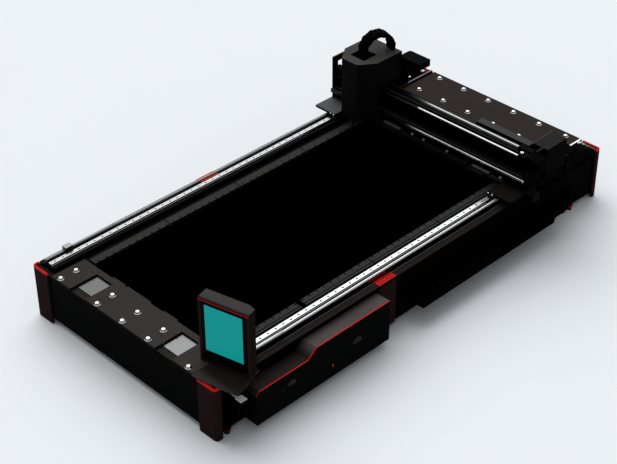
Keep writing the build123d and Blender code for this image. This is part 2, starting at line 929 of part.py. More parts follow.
shell_outline = [
    (0, bezel_thick),
    (screen_width, bezel_thick),
    (screen_width, screen_depth - screen_bevel),
    (screen_width - screen_bevel_run, screen_depth),
    (0, screen_depth),
]
shell = prism("z", screen_bottom, screen_top, shell_outline)
heel = [
    (screen_depth - screen_heel, screen_bottom),
    (screen_depth, screen_bottom),
    (screen_depth, screen_bottom + screen_heel),
]
shell -= prism("x", 0, screen_width, heel)
room_x = (screen_wall, screen_width - screen_wall)
room_y = (bezel_thick, screen_depth - screen_bevel - screen_wall)
shell -= block(room_x, room_y, (screen_bottom + screen_foot, screen_top - screen_wall - bezel_thick))
pocket_x = (knuckle_x[0] - knuckle_gap, knuckle_x[1] + knuckle_gap)
pocket_front = pin_y - knuckle_radius - knuckle_room
pocket_top = pin_z + knuckle_radius + knuckle_room
shell -= block(pocket_x, (pocket_front, screen_depth), (screen_bottom, pocket_top))
pin_hole_x = around(screen_width / 2, pin_length / 2 + pin_end_gap)
shell -= rod("x", pin_radius + pin_fit, *pin_hole_x, pin_y, pin_z)
top_edge = shell.faces().sort_by(Axis.Z)[-1].edges().sort_by(Axis.Y)[0]
shell = chamfer(top_edge, bezel_thick)
add("screen_shell", screen_place * shell)

bezel_top = screen_top - bezel_top_gap
glass_x = around(screen_width / 2, glass_width / 2)
glass_z = (deck_top + glass_rise, deck_top + glass_rise + glass_height)
bezel = block((0, screen_width), (0, bezel_thick), (screen_bottom, bezel_top))
bezel -= block(glass_x, (0, bezel_thick), glass_z)
add("screen_bezel", screen_place * bezel)
glass_span = (glass_x[0] + glass_gap, glass_x[1] - glass_gap)
glass_height_span = (glass_z[0] + glass_gap, glass_z[1] - glass_gap)
add("screen_glass", screen_place * block(glass_span, (glass_inset, bezel_thick), glass_height_span))
trim_z = (bezel_top, bezel_top + screen_trim_height)
add("screen_trim", screen_place * block((0, screen_width), (0, bezel_thick), trim_z))


# Cable chains
def chain_route(first_run, radius, second_run, distance):
    """Place and heading on a route that runs along u, turns back over half a circle and returns."""
    bend = pi * radius
    if distance < first_run:
        return (distance - first_run, radius), 0.0
    if distance < first_run + bend:
        turn = (distance - first_run) / radius
        return (radius * sin(turn), radius * cos(turn)), turn
    return (first_run + bend - distance, -radius), pi


def chain_link(length, width, height, inner):
    """One link: two side plates with bevelled ends, tied by a bar on the outer side."""
    offset = width / 2 - (chain_plate + chain_gap if inner else 0)
    reach = length * (0.5 + chain_lug)
    bevel = height * chain_bevel
    outline = [
        (reach, bevel - height / 2),
        (reach, height / 2 - bevel),
        (reach - bevel, height / 2),
        (bevel - reach, height / 2),
        (-reach, height / 2 - bevel),
        (-reach, bevel - height / 2),
        (bevel - reach, -height / 2),
        (reach - bevel, -height / 2),
    ]
    link = prism("y", offset - chain_plate, offset, outline)
    link += prism("y", -offset, chain_plate - offset, outline)
    bar_z = (height / 2 - chain_bar, height / 2)
    return link + block(around(0, length * chain_bar_share / 2), (-offset, offset), bar_z)


def cable_chain(centre, along, outward, runs, radius, pitch, width, height):
    """Links on a turned-back route; along and outward are the route's plane."""
    along = Vector(*along)
    outward = Vector(*outward)
    first, second = runs
    total = first + pi * radius + second
    count = round(total / pitch)
    step = total / (count + 2 * chain_lug)
    kinds = [chain_link(step, width, height, inner) for inner in (False, True)]
    links = []
    for index in range(count):
        (u, v), turn = chain_route(first, radius, second, (index + 0.5 + chain_lug) * step)
        origin = Vector(*centre) + along * u + outward * v
        heading = along * cos(turn) - outward * sin(turn)
        normal = along * sin(turn) + outward * cos(turn)
        links.append(Plane(origin=origin, x_dir=heading, z_dir=normal) * kinds[index % 2])
    return links


# Gantry
plate_front = bed_rear - gantry_back_step
plate_back = plate_front + foot_plate_length
plate_top = carriage_top + foot_plate_thick
plate_in = beam_in + foot_plate_inner_gap
plate_out = half_width + foot_plate_reach
plate_z = (carriage_top, plate_top)
foot_plate = block((plate_in, plate_out), (plate_front, plate_back), plate_z)

chain_x = beam_out + chain_side_gap + long_chain_width / 2
lower_run_z = tray_floor + tray_thick + long_chain_height / 2
upper_run_z = lower_run_z + 2 * long_chain_radius
arm_start = plate_front + arm_inset
arm_x = around(chain_x, long_chain_width / 2)
arm_bottom = upper_run_z + long_chain_height / 2
arm = block((half_width, arm_x[1]), (arm_start, arm_start + arm_length), plate_z)
arm += block(arm_x, (arm_start, arm_start + arm_length), (arm_bottom, plate_top))
add("foot_plates", mirror(foot_plate, about=Plane.YZ), foot_plate + arm)

carriages = []
for step in range(2):
    start = plate_front + carriage_inset + step * carriage_step
    section = carriage_outline(rail_x, pedestal_top, 1)
    carriages += both(prism("y", start, start + carriage_length, section))
add("side_carriages", *carriages)

nut_end = plate_back - nut_inset
nut_y = (nut_end - nut_length, nut_end)
nut = block(around(screw_x, nut_half), nut_y, (carriage_top - nut_drop, carriage_top))
nut -= rod("y", screw_radius + screw_fit, *nut_y, screw_x, screw_z)
add("side_nuts", *both(nut))

end_front = plate_front + end_plate_front
end_out = half_width + end_plate_reach
end_in = end_out - end_plate_thick
end_x = (end_in, end_out)
end_y = (end_front, plate_back)
beam_base = plate_top + beam_lift
beam_back = end_front + beam_depth
beam_top = beam_base + gantry_beam_height
cross_screw_y = end_front + cross_screw_front
cross_screw_z = beam_top - cross_screw_drop
hole_radius = screw_radius + cross_hole_gap
shelf_top = beam_top + shelf_height
upper_rail_y = beam_back - upper_rail_inset
rail_slot = around(upper_rail_y, rail_width / 2 + rail_slot_gap)
right_end = block(end_x, end_y, (plate_top, shelf_top)) - block(end_x, rail_slot, (beam_top, shelf_top))
right_end -= rod("x", hole_radius, end_in, end_out, cross_screw_y, cross_screw_z)
window_y = (end_front + end_window_front, end_front + end_window_front + end_window_width)
window_z = (plate_top + end_window_base, plate_top + end_window_base + end_window_height)
left_end = block(end_x, end_y, (plate_top, plate_top + left_end_height)) - block(end_x, window_y, window_z)
add("end_plates", mirror(left_end, about=Plane.YZ), right_end)

flange_front = beam_back - top_flange_depth
gantry_outline = [
    (end_front, beam_base),
    (beam_back, beam_base),
    (beam_back, beam_top),
    (flange_front, beam_top),
    (flange_front, beam_top - gantry_wall),
    (beam_back - gantry_wall, beam_top - gantry_wall),
    (beam_back - gantry_wall, beam_base + gantry_wall),
    (end_front + gantry_wall, beam_base + gantry_wall),
    (end_front + gantry_wall, beam_base + front_lip_height),
    (end_front, beam_base + front_lip_height),
]
add("gantry_beam", prism("x", -end_in, end_in, gantry_outline))

lower_rail_z = beam_base + lower_rail_rise
lower_half = end_out - lower_rail_overlap
upper_rail = prism("x", upper_rail_end_gap - end_in, end_out, rail_outline(upper_rail_y, beam_top, 1))
lower_section = [(y, z) for z, y in rail_outline(lower_rail_z, end_front, -1)]
add("cross_rails", upper_rail, prism("x", -lower_half, lower_half, lower_section))


def cross_bearing(start):
    """Block on an end plate that carries the cross screw."""
    span = (start, start + cross_bearing_length)
    housing_y = around(cross_screw_y, cross_bearing_half)
    housing = block(span, housing_y, around(cross_screw_z, cross_bearing_half))
    housing -= rod("x", screw_radius + screw_fit, *span, cross_screw_y, cross_screw_z)
    return housing


rail_stop_end = end_in - rail_stop_gap
rail_stop_x = (rail_stop_end - rail_stop_length, rail_stop_end)
rail_top = beam_top + rail_height + carriage_fit
rail_stop = block(rail_stop_x, around(upper_rail_y, rail_stop_half), (beam_top, rail_top + rail_stop_roof))
rail_stop -= block(rail_stop_x, around(upper_rail_y, rail_width / 2 + carriage_fit), (beam_top, rail_top))
cross_supports = [cross_bearing(-end_in), cross_bearing(end_in - cross_bearing_length)]
add("cross_bearings", *cross_supports, rail_stop)
add("cross_screw", rod("x", screw_radius, -end_in + side_gap, end_out, cross_screw_y, cross_screw_z))
cross_motor_end = end_out + cross_motor_length
motor_values = (cross_screw_y, cross_screw_z, cross_motor_size, cross_motor_bevel)
add("cross_motor", bevelled_bar("x", end_out, cross_motor_end, *motor_values))

shelf_y = upper_rail_y + carriage_width / 2 + shelf_gap
shelf_end = end_in - shelf_end_gap
shelf_x = (shelf_end - shelf_length, shelf_end)
shelf = block(shelf_x, (shelf_y, shelf_y + shelf_depth), (beam_top, shelf_top))
junction_x = (end_in - junction_inset, end_in - junction_inset + junction_width)
junction_y = (plate_back, plate_back + junction_depth)
junction_z = (shelf_top - junction_height, shelf_top)
room_x = (junction_x[0] + junction_wall, junction_x[1] - junction_wall)
room_y = (junction_y[0] + junction_wall, junction_y[1] - junction_wall)
junction_room = block(room_x, room_y, (junction_z[0], junction_z[1] - junction_wall))
add("cable_shelf", shelf + block(junction_x, junction_y, junction_z) - junction_room)
ledge_top = beam_top - chain_shelf_drop + chain_shelf_thick
ledge_x = (-beam_in, shelf_x[0])
ledge_z = (ledge_top - chain_shelf_thick, ledge_top)
chain_shelf = block(ledge_x, (beam_back, beam_back + chain_shelf_depth), ledge_z)
flange_z = (ledge_top - chain_shelf_flange, ledge_top)
chain_shelf += block(ledge_x, (beam_back, beam_back + chain_shelf_thick), flange_z)
add("chain_shelf", chain_shelf)

# Laser head
upper_top = beam_top + carriage_height
lower_front = end_front - carriage_height
head_x = head_from_end - end_in
head_half = hood_width / 2 - hood_wall - head_fit
head_x_span = around(head_x, head_half)
plate_y = (lower_front - head_plate_thick, lower_front)
hood_front = plate_front - hood_front_step
hood_back = hood_front + hood_depth
guide_front = hood_back + guide_gap
guide_back = guide_front + guide_depth
top_z = (upper_top, upper_top + head_top_thick)
head_plate = block(head_x_span, plate_y, (head_plate_bottom, top_z[1]))
head_plate += block(head_x_span, (plate_y[0], hood_back), top_z)
guide_x = (head_x + guide_left, head_x + guide_right)
head_plate += block((guide_x[0], head_x_span[1]), (hood_back, guide_back), top_z)
rib_y = (plate_y[0] - lift_rail_depth, plate_y[0])
head_plate += block(around(head_x, lift_rail_width / 2), rib_y, (lift_rail_bottom, lift_rail_top))
add("head_plate", head_plate)

head_carriages = []
for side in (-1, 1):
    middle = head_x + side * cross_carriage_step / 2
    ends = around(middle, carriage_length / 2)
    head_carriages.append(prism("x", *ends, carriage_outline(upper_rail_y, beam_top, 1)))
    lower = [(y, z) for z, y in carriage_outline(lower_rail_z, end_front, -1)]
    head_carriages.append(prism("x", *ends, lower))
add("head_carriages", *head_carriages)

cross_nut_x = around(head_x, cross_nut_length / 2)
cross_nut_z = (cross_screw_z - cross_nut_half, upper_top)
cross_nut = block(cross_nut_x, around(cross_screw_y, cross_nut_half), cross_nut_z)
cross_nut -= rod("x", screw_radius + screw_fit, *cross_nut_x, cross_screw_y, cross_screw_z)
add("head_nut", cross_nut)


def hood_outline(margin):
    """Plan of the hood, drawn in by its wall."""
    turn = atan2(hood_bevel_run, (hood_width - hood_front_width) / 2)
    half = hood_width / 2 - margin
    nose = hood_front_width / 2 - margin * tan(turn / 2)
    shoulder = hood_front + hood_bevel_run + margin * tan(pi / 4 - turn / 2)
    return [
        (head_x - nose, hood_front + margin),
        (head_x + nose, hood_front + margin),
        (head_x + half, shoulder),
        (head_x + half, hood_back - margin),
        (head_x - half, hood_back - margin),
        (head_x - half, shoulder),
    ]


hood = prism("z", hood_bottom, hood_top, hood_outline(0))
hood -= prism("z", hood_bottom, hood_top - hood_wall, hood_outline(hood_wall))
tunnel_y = (hood_front + hood_back_start, hood_back)
hood -= block(around(head_x, hood_width / 2), tunnel_y, (hood_bottom, hood_back_bottom))
mouth_front = hood_front + hood_mouth_front
mouth_y = (mouth_front, mouth_front + hood_mouth_length)
hood -= block(around(head_x, hood_mouth_width / 2), mouth_y, (hood_top - hood_wall, hood_top))
add("hood", hood)

guide_z = (top_z[1], top_z[1] + guide_height)


def guide_body(margin, depth):
    """Stem behind the hood with an arm at its top and one round upper corner."""
    stem_end = guide_x[0] + guide_stem - margin
    arm_bottom = guide_z[1] - guide_arm + margin
    outline = [
        (guide_x[0] + margin, guide_z[0] + margin),
        (stem_end, guide_z[0] + margin),
        (stem_end, arm_bottom),
        (guide_x[1] - margin, arm_bottom),
        (guide_x[1] - margin, guide_z[1] - margin),
        (guide_x[0] + margin, guide_z[1] - margin),
    ]
    body = prism("y", *depth, outline)
    corner = body.edges().filter_by(Axis.Y).sort_by(lambda edge: edge.center().Z - edge.center().X)[-1]
    return fillet(corner, guide_round - margin)


guide_hollow = guide_body(guide_wall, (guide_front + guide_wall, guide_back))
add("cable_guide", guide_body(0, (guide_front, guide_back)) - guide_hollow)

loop_angle = radians(loop_turn)
loop_outward = (-sin(loop_angle), -cos(loop_angle), 0)
loop_centre = (head_x + loop_aside, hood_front + loop_centre_back, hood_top + loop_centre_rise)
loop_runs = (loop_front_leg, loop_centre_rise)
loop_values = (loop_radius, loop_pitch, loop_width, loop_height)
add("loop_chain", *cable_chain(loop_centre, (0, 0, 1), loop_outward, loop_runs, *loop_values))

slide_back = plate_y[0] - lift_slide_back
slide_front = plate_y[0] - lift_slide_front
slide_z = (lift_slide_bottom, lift_slide_bottom + lift_slide_height)
slide = block(around(head_x, lift_slide_half), (slide_front, slide_back), slide_z)
slot_half = lift_rail_width / 2 + lift_fit
slide -= block(around(head_x, slot_half), (rib_y[0] - lift_fit, slide_back), slide_z)
lift_arm_x = (head_x + lift_slide_half, head_x + lift_arm_reach)
lift_arm_z = (lift_slide_bottom, lift_slide_bottom + lift_arm_height)
slide += block(lift_arm_x, (slide_front, slide_back), lift_arm_z)
lift_rod_y = plate_y[0] - lift_motor_size / 2
lift_rod = (head_x + lift_rod_x, lift_rod_y)
slide += rod("z", lift_rod_radius, lift_arm_z[1], lift_arm_z[1] + lift_rod_length, *lift_rod)
add("lift_slide", slide)

lift_motor_top = lift_motor_bottom + lift_motor_height
lift_motor_z = (lift_motor_bottom, lift_motor_top)
lift_motor = bevelled_bar("z", *lift_motor_z, *lift_rod, lift_motor_size, lift_motor_bevel)
lift_motor -= rod("z", lift_rod_radius + lift_fit, *lift_motor_z, *lift_rod)
add("lift_motor", lift_motor)

laser_y = (slide_front - laser_depth, slide_front)
laser = block(around(head_x, laser_half), laser_y, (laser_bottom, laser_bottom + laser_height))
add("laser_body", laser)
nozzle_y = (laser_y[0] + laser_y[1]) / 2
nozzle = faceted_plug(nozzle_radius, round_sides, nozzle_skirt, nozzle_length - nozzle_skirt, nozzle_taper)
nozzle -= extrude(RegularPolygon(nozzle_bore, bore_sides), amount=nozzle_length)
add("nozzle", Location((head_x, nozzle_y, laser_bottom), (180, 0, 0)) * nozzle)

# Chains that feed the gantry and the head, and the side tray
tray_y = (middle_span[1] + tray_gap, plate_back + tray_tail)
tray_out = beam_out + tray_reach
tray_top = tray_floor + tray_thick
tray = block((beam_out, tray_out), tray_y, (tray_floor, tray_top))
tray += block((tray_out - tray_thick, tray_out), tray_y, (tray_floor, tray_top + tray_lip))
tray += block((beam_out, beam_out + tray_thick), tray_y, (tray_floor, tray_top + tray_back))
add("chain_tray", tray)

chain_back = arm_start + arm_length / 2 + long_chain_upper
long_centre = (chain_x, chain_back, (lower_run_z + upper_run_z) / 2)
long_lower = chain_back - tray_y[0] - long_chain_start
long_runs = (long_chain_upper, long_lower)
long_values = (long_chain_radius, long_chain_pitch, long_chain_width, long_chain_height)
add("long_chain", *cable_chain(long_centre, (0, 1, 0), (0, 0, 1), long_runs, *long_values))

cross_centre_z = ledge_top + cross_chain_height / 2 + cross_chain_radius
cross_centre_x = guide_x[0] + cross_chain_hold - cross_chain_upper
cross_centre = (cross_centre_x, guide_front + cross_chain_width / 2, cross_centre_z)
cross_lower = shelf_x[0] - cross_chain_end_gap - cross_centre[0]
cross_runs = (cross_chain_upper, cross_lower)
cross_values = (cross_chain_radius, cross_chain_pitch, cross_chain_width, cross_chain_height)
add("cross_chain", *cable_chain(cross_centre, (-1, 0, 0), (0, 0, 1), cross_runs, *cross_values))

# The origin is the middle of the footprint, on the floor
everything = Compound([solid for solids in nodes.values() for solid in solids])
extent = everything.bounding_box()
to_origin = Pos(-extent.center().X, -extent.center().Y, -extent.min.Z)
os.makedirs("parts", exist_ok=True)
for name, solids in nodes.items():
    placed = [to_origin * solid for solid in solids]
    export_step(placed[0] if len(placed) == 1 else Compound(placed), f"parts/{name}.step")
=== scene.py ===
import math
import bmesh
import bpy
import numpy as np
from mathutils import Matrix, Vector


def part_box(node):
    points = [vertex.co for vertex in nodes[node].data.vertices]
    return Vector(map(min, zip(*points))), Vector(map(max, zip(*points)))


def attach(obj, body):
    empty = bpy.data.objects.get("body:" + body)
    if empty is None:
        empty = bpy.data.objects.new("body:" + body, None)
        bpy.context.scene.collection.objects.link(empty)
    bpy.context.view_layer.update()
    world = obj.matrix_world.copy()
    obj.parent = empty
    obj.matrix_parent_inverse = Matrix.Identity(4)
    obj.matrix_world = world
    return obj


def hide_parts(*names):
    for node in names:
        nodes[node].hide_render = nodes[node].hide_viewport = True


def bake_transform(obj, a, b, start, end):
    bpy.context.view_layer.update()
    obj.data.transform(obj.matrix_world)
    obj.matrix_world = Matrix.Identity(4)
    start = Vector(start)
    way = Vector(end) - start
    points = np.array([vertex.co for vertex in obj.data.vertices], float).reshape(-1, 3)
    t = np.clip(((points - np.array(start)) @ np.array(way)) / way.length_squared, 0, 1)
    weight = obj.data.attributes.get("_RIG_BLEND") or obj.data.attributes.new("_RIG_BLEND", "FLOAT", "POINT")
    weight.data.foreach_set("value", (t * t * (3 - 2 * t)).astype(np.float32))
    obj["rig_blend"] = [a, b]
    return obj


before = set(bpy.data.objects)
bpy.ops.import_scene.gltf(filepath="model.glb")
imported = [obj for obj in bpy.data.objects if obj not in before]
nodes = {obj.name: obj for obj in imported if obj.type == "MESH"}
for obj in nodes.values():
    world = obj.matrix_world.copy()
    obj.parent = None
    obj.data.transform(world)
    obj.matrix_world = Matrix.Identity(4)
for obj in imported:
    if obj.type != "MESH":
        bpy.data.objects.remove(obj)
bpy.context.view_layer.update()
scene = bpy.context.scene

posts_low, posts_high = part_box("frame_posts")
middle_x = (posts_low.x + posts_high.x) / 2
axis_middle = (middle_x, 0.0, 0.0)
axis_x = 0
axis_y = 1
axis_z = 2


def place(x, y, z):
    """A point given in millimetres from the middle of the frame, in metres in the row frame."""
    return Vector((middle_x + x / 1000, y / 1000, z / 1000))


def mesh_piece(name, verts, faces):
    """A mesh object at the origin with its place in its vertices."""
    mesh = bpy.data.meshes.new(name)
    mesh.from_pydata([tuple(v) for v in verts], [], faces)
    mesh.update()
    piece = bpy.data.objects.new(name, mesh)
    scene.collection.objects.link(piece)
    return piece


# Helpers for node trees
def feed(tree, node, inputs):
    """Gives each input of a node a link where its value is a socket, or else a plain value."""
    for key, value in inputs.items():
        if isinstance(value, bpy.types.NodeSocket):
            tree.links.new(value, node.inputs[key])
        else:
            node.inputs[key].default_value = value


def add_node(tree, kind, inputs=None, **settings):
    made = tree.nodes.new(kind)
    for key, value in settings.items():
        setattr(made, key, value)
    feed(tree, made, inputs or {})
    return made


def calculate(tree, operation, *values, clamp=False):
    """The result of one calculation on sockets or numbers."""
    made = add_node(tree, "ShaderNodeMath", dict(enumerate(values)), operation=operation, use_clamp=clamp)
    return made.outputs[0]


def socket_group(name, kind, inputs, outputs):
    """An empty node group with its named sockets."""
    tree = bpy.data.node_groups.new(name, kind)
    for direction, sockets in (("INPUT", inputs), ("OUTPUT", outputs)):
        for label, sort in sockets:
            tree.interface.new_socket(label, in_out=direction, socket_type="NodeSocket" + sort)
    return tree, tree.nodes.new("NodeGroupInput").outputs, tree.nodes.new("NodeGroupOutput")


# Camera at the photograph's angle
eye = place(2327.4, -2382.8, 2406.5)
aim = place(-28.8, -58.5, 77.3)
roll = math.radians(-0.37)
back = (eye - aim).normalized()
level = Vector((0, 0, 1)).cross(back).normalized()
upward = back.cross(level)
right = level * math.cos(roll) + upward * math.sin(roll)
above = back.cross(right)
camera_data = bpy.data.cameras.new("photo_camera")
camera_data.lens = 89.02
camera_data.sensor_width = 36
camera = bpy.data.objects.new("photo_camera", camera_data)
camera.matrix_world = Matrix((right, above, back)).transposed().to_4x4()
camera.matrix_world.translation = eye
scene.collection.objects.link(camera)
scene.camera = camera

# Studio: a pale world, brighter where it is seen than where it lights, one broad soft lamp and a pale floor
lighting_strength = 0.40
seen_strength = 0.95
scene.view_settings.view_transform = "Standard"
world = bpy.data.worlds.new("studio")
scene.world = world
world.use_nodes = True
wires = world.node_tree
wires.nodes.clear()
rays = add_node(wires, "ShaderNodeLightPath").outputs
seen = calculate(wires, "ADD", rays["Is Camera Ray"], rays["Is Glossy Ray"], clamp=True)
clear = calculate(wires, "ADD", seen, rays["Is Transmission Ray"], clamp=True)
strength = add_node(wires, "ShaderNodeMapRange", {
    "Value": clear, "To Min": lighting_strength, "To Max": seen_strength})
sky = add_node(wires, "ShaderNodeBackground", {
    "Color": (0.95, 0.975, 1.0, 1.0), "Strength": strength.outputs["Result"]})
add_node(wires, "ShaderNodeOutputWorld", {0: sky.outputs[0]})

lamp_data = bpy.data.lights.new("soft_lamp", "SUN")
lamp_data.energy = 2.3
lamp_data.angle = math.radians(70)
lamp = bpy.data.objects.new("soft_lamp", lamp_data)
lamp.rotation_euler = Vector((0.65, -0.3, -1.0)).to_track_quat("-Z", "Y").to_euler()
scene.collection.objects.link(lamp)


# The surface effect that all finishes share
def varied(tree, source, spread):
    """Maps the usual range of a noise value to -spread ... +spread."""
    centred = add_node(tree, "ShaderNodeMapRange", {
        "Value": source, "From Min": 0.35, "From Max": 0.65, "To Min": -1.0, "To Max": 1.0})
    return calculate(tree, "MULTIPLY", centred.outputs["Result"], spread)


def grain_effect():
    """Fine grain with broad patches, and a painted top light that gives upward faces the Top Colour; a
    stretched Grain makes brushed lines.
    """
    tree, given, result = socket_group("surface_grain", "ShaderNodeTree", [
        ("Colour", "Color"), ("Top Colour", "Color"), ("Shade Spread", "Float"), ("Roughness", "Float"),
        ("Rough Spread", "Float"), ("Grain", "Vector"), ("Patch", "Float")], [
        ("Colour", "Color"), ("Roughness", "Float"), ("Height", "Float")])
    spot = add_node(tree, "ShaderNodeTexCoord").outputs["Object"]
    stretched = add_node(tree, "ShaderNodeVectorMath", {0: spot, 1: given["Grain"]}, operation="MULTIPLY")
    fine = add_node(tree, "ShaderNodeTexNoise", {
        "Vector": stretched.outputs[0], "Scale": 1.0, "Detail": 3.0}).outputs["Fac"]
    broad = add_node(tree, "ShaderNodeTexNoise", {
        "Vector": spot, "Scale": given["Patch"], "Detail": 4.0, "Roughness": 0.6}).outputs["Fac"]
    both = calculate(tree, "MULTIPLY_ADD", fine, 0.5, calculate(tree, "MULTIPLY", broad, 0.5))
    shade = calculate(tree, "ADD", varied(tree, both, given["Shade Spread"]), 1.0)
    # Painted light: upward faces turn to the Top Colour, lighter or darker as light falls on them
    normal = add_node(tree, "ShaderNodeNewGeometry").outputs["Normal"]
    axes = add_node(tree, "ShaderNodeSeparateXYZ", {0: normal})
    upper = add_node(tree, "ShaderNodeMapRange", {
        "Value": axes.outputs["Z"], "From Min": 0.3, "From Max": 0.95}, interpolation_type="SMOOTHSTEP")
    painted_top_light = add_node(tree, "ShaderNodeMix", {
        "Factor": upper.outputs["Result"], "A": given["Colour"], "B": given["Top Colour"]}, data_type="RGBA")
    tint = add_node(tree, "ShaderNodeHueSaturation", {"Color": painted_top_light.outputs["Result"], "Value": shade})
    worn = calculate(tree, "ADD", varied(tree, both, given["Rough Spread"]), given["Roughness"], clamp=True)
    feed(tree, result, {"Colour": tint.outputs["Color"], "Roughness": worn, "Height": fine})
    return tree


surface_grain = grain_effect()
even_grain = (900.0, 900.0, 900.0)
even_patch = 9.0
relief_depth = 0.0002


def finish(name, colour, roughness, metallic=0.0, specular=0.5, shade=0.15, rough=0.08, grain=even_grain,
           patch=even_patch, bump=0.1, top=None):
    """One procedural finish: varying colour, roughness and relief from the shared grain; top is a painted
    light colour for upward faces.
    """
    material = bpy.data.materials.new(name)
    material.use_nodes = True
    material.diffuse_color = (*colour, 1.0)
    tree = material.node_tree
    surface = add_node(tree, "ShaderNodeGroup", {
        "Colour": (*colour, 1.0), "Top Colour": (*(top or colour), 1.0), "Shade Spread": shade,
        "Roughness": roughness, "Rough Spread": rough, "Grain": grain, "Patch": patch},
        name="surface", node_tree=surface_grain)
    relief = add_node(tree, "ShaderNodeBump", {
        "Height": surface.outputs["Height"], "Strength": bump, "Distance": relief_depth})
    feed(tree, tree.nodes["Principled BSDF"], {
        "Base Color": surface.outputs["Colour"], "Roughness": surface.outputs["Roughness"],
        "Normal": relief.outputs["Normal"], "Metallic": metallic, "Specular IOR Level": specular})
    return material


# Second colours and bands by place, in metres from the middle of the frame; most are painted reflections,
# highlights and shade
def share_along(tree, axis, start, end, kind):
    """How far the object's own coordinate on one axis has come from start to end, as 0 ... 1."""
    coords = add_node(tree, "ShaderNodeTexCoord")
    axes = add_node(tree, "ShaderNodeSeparateXYZ", {0: coords.outputs["Object"]})
    share = add_node(tree, "ShaderNodeMapRange", {
        "Value": axes.outputs[axis], "From Min": axis_middle[axis] + start,
        "From Max": axis_middle[axis] + end}, interpolation_type=kind)
    return share.outputs["Result"]


def faded(tree, axis, start, end, before, after):
    """Gives the shader a colour that turns from one to another between two values of an axis."""
    mixed = add_node(tree, "ShaderNodeMix", {
        "Factor": share_along(tree, axis, start, end, "SMOOTHSTEP"), "A": before, "B": after},
        data_type="RGBA")
    feed(tree, tree.nodes["Principled BSDF"], {"Base Color": mixed.outputs["Result"]})


def beyond(material, axis, start, end, colour, top):
    """Second side and top colours that fade in between two values of an axis, mostly as painted light and
    shade.
    """
    tree = material.node_tree
    first = tree.nodes["surface"]
    second = add_node(tree, "ShaderNodeGroup", name="second_surface", node_tree=surface_grain)
    feed(tree, second, {socket.name: socket.default_value for socket in first.inputs})
    feed(tree, second, {"Colour": (*colour, 1.0), "Top Colour": (*top, 1.0)})
    faded(tree, axis, start, end, first.outputs["Colour"], second.outputs["Colour"])


def dark_before(material, axis, start, end, colour):
    """One colour before a value of an axis, as on a rail that mirrors the dark hood beside it."""
    tree = material.node_tree
    lit = tree.nodes["Principled BSDF"].inputs["Base Color"].links[0].from_socket
    faded(tree, axis, start, end, (*colour, 1.0), lit)


def banded(material, surface, socket, axis, end, bands):
    """Colours in steps along an axis up to its end, for painted shade and highlight lines such as those in a
    rail's groove; a band is (start, colour).
    """
    tree = material.node_tree
    start, first = bands[0]
    ramp = add_node(tree, "ShaderNodeValToRGB", {"Fac": share_along(tree, axis, start, end, "LINEAR")})
    ramp.color_ramp.interpolation = "CONSTANT"
    stops = ramp.color_ramp.elements
    stops.remove(stops[1])
    stops[0].color = (*first, 1.0)
    for edge, colour in bands[1:]:
        stops.new((edge - start) / (end - start)).color = (*colour, 1.0)
    feed(tree, tree.nodes[surface], {socket: ramp.outputs["Color"]})


def grey(value):
    return (value, value, value)


# Painted frame, decks and bed
# beam_black, near_black, far_black and wall_black are copies of one black paint whose tops differ: painted
# light and shade
beam_black = finish("beam_black", grey(0.0008), 0.5, specular=0.005, top=(0.022, 0.021, 0.020))
near_black = finish("near_black", grey(0.0006), 0.5, specular=0.003, top=grey(0.02))
# Painted light across the right beam's top: a lighter band by the rail, painted shade over the screw trough,
# a painted highlight on the flange's inner edge
banded(near_black, "surface", "Top Colour", axis_x, 0.345, [
    (0.270, grey(0.050)), (0.297, grey(0.003)), (0.3184, grey(0.10)), (0.3204, (0.0180, 0.0150, 0.0135))])
# Painted shade on the right beam's top behind the gantry
beyond(near_black, axis_y, 0.42, 0.44, grey(0.0006), grey(0.0016))
far_black = finish("far_black", grey(0.0010), 0.5, specular=0.005, top=(0.0135, 0.0125, 0.012))
wall_black = finish("wall_black", grey(0.0026), 0.5, specular=0.003, top=(0.026, 0.023, 0.0215))
deck_side = (0.008, 0.006, 0.0055)
deck_brown = finish("deck_brown", deck_side, 0.5, specular=0.005, patch=5.0, top=(0.040, 0.0345, 0.0315))
# rear_brown is a darker copy of deck_brown for the rear deck: painted shade
rear_brown = finish("rear_brown", deck_side, 0.5, specular=0.005, patch=5.0, top=(0.032, 0.0255, 0.0225))
wing_side = (0.030, 0.028, 0.027)
wing_black = finish("wing_black", wing_side, 0.5, specular=0.005, top=(0.044, 0.034, 0.032))
# Painted shadow of the screen on the wing's top, towards the back
beyond(wing_black, axis_y, -0.708, -0.684, wing_side, (0.0180, 0.0128, 0.0120))
pan_black = finish("pan_black", grey(0.0006), 0.9, specular=0.0, top=(0.012, 0.0108, 0.0102))
void_black = finish("void_black", grey(0.0003), 0.95, specular=0.0)
tray_black = finish("tray_black", grey(0.0006), 0.8, specular=0.002, top=grey(0.0012))
post_brown = finish("post_brown", (0.0175, 0.0080, 0.0080), 0.45, specular=0.003)
beyond(post_brown, axis_y, 0.40, 0.42, (0.024, 0.0065, 0.0070), (0.024, 0.0065, 0.0070))
cap_red = (0.50, 0.010, 0.006)
red_paint = finish("red_paint", (0.52, 0.010, 0.006), 0.4, specular=0.02, shade=0.06)
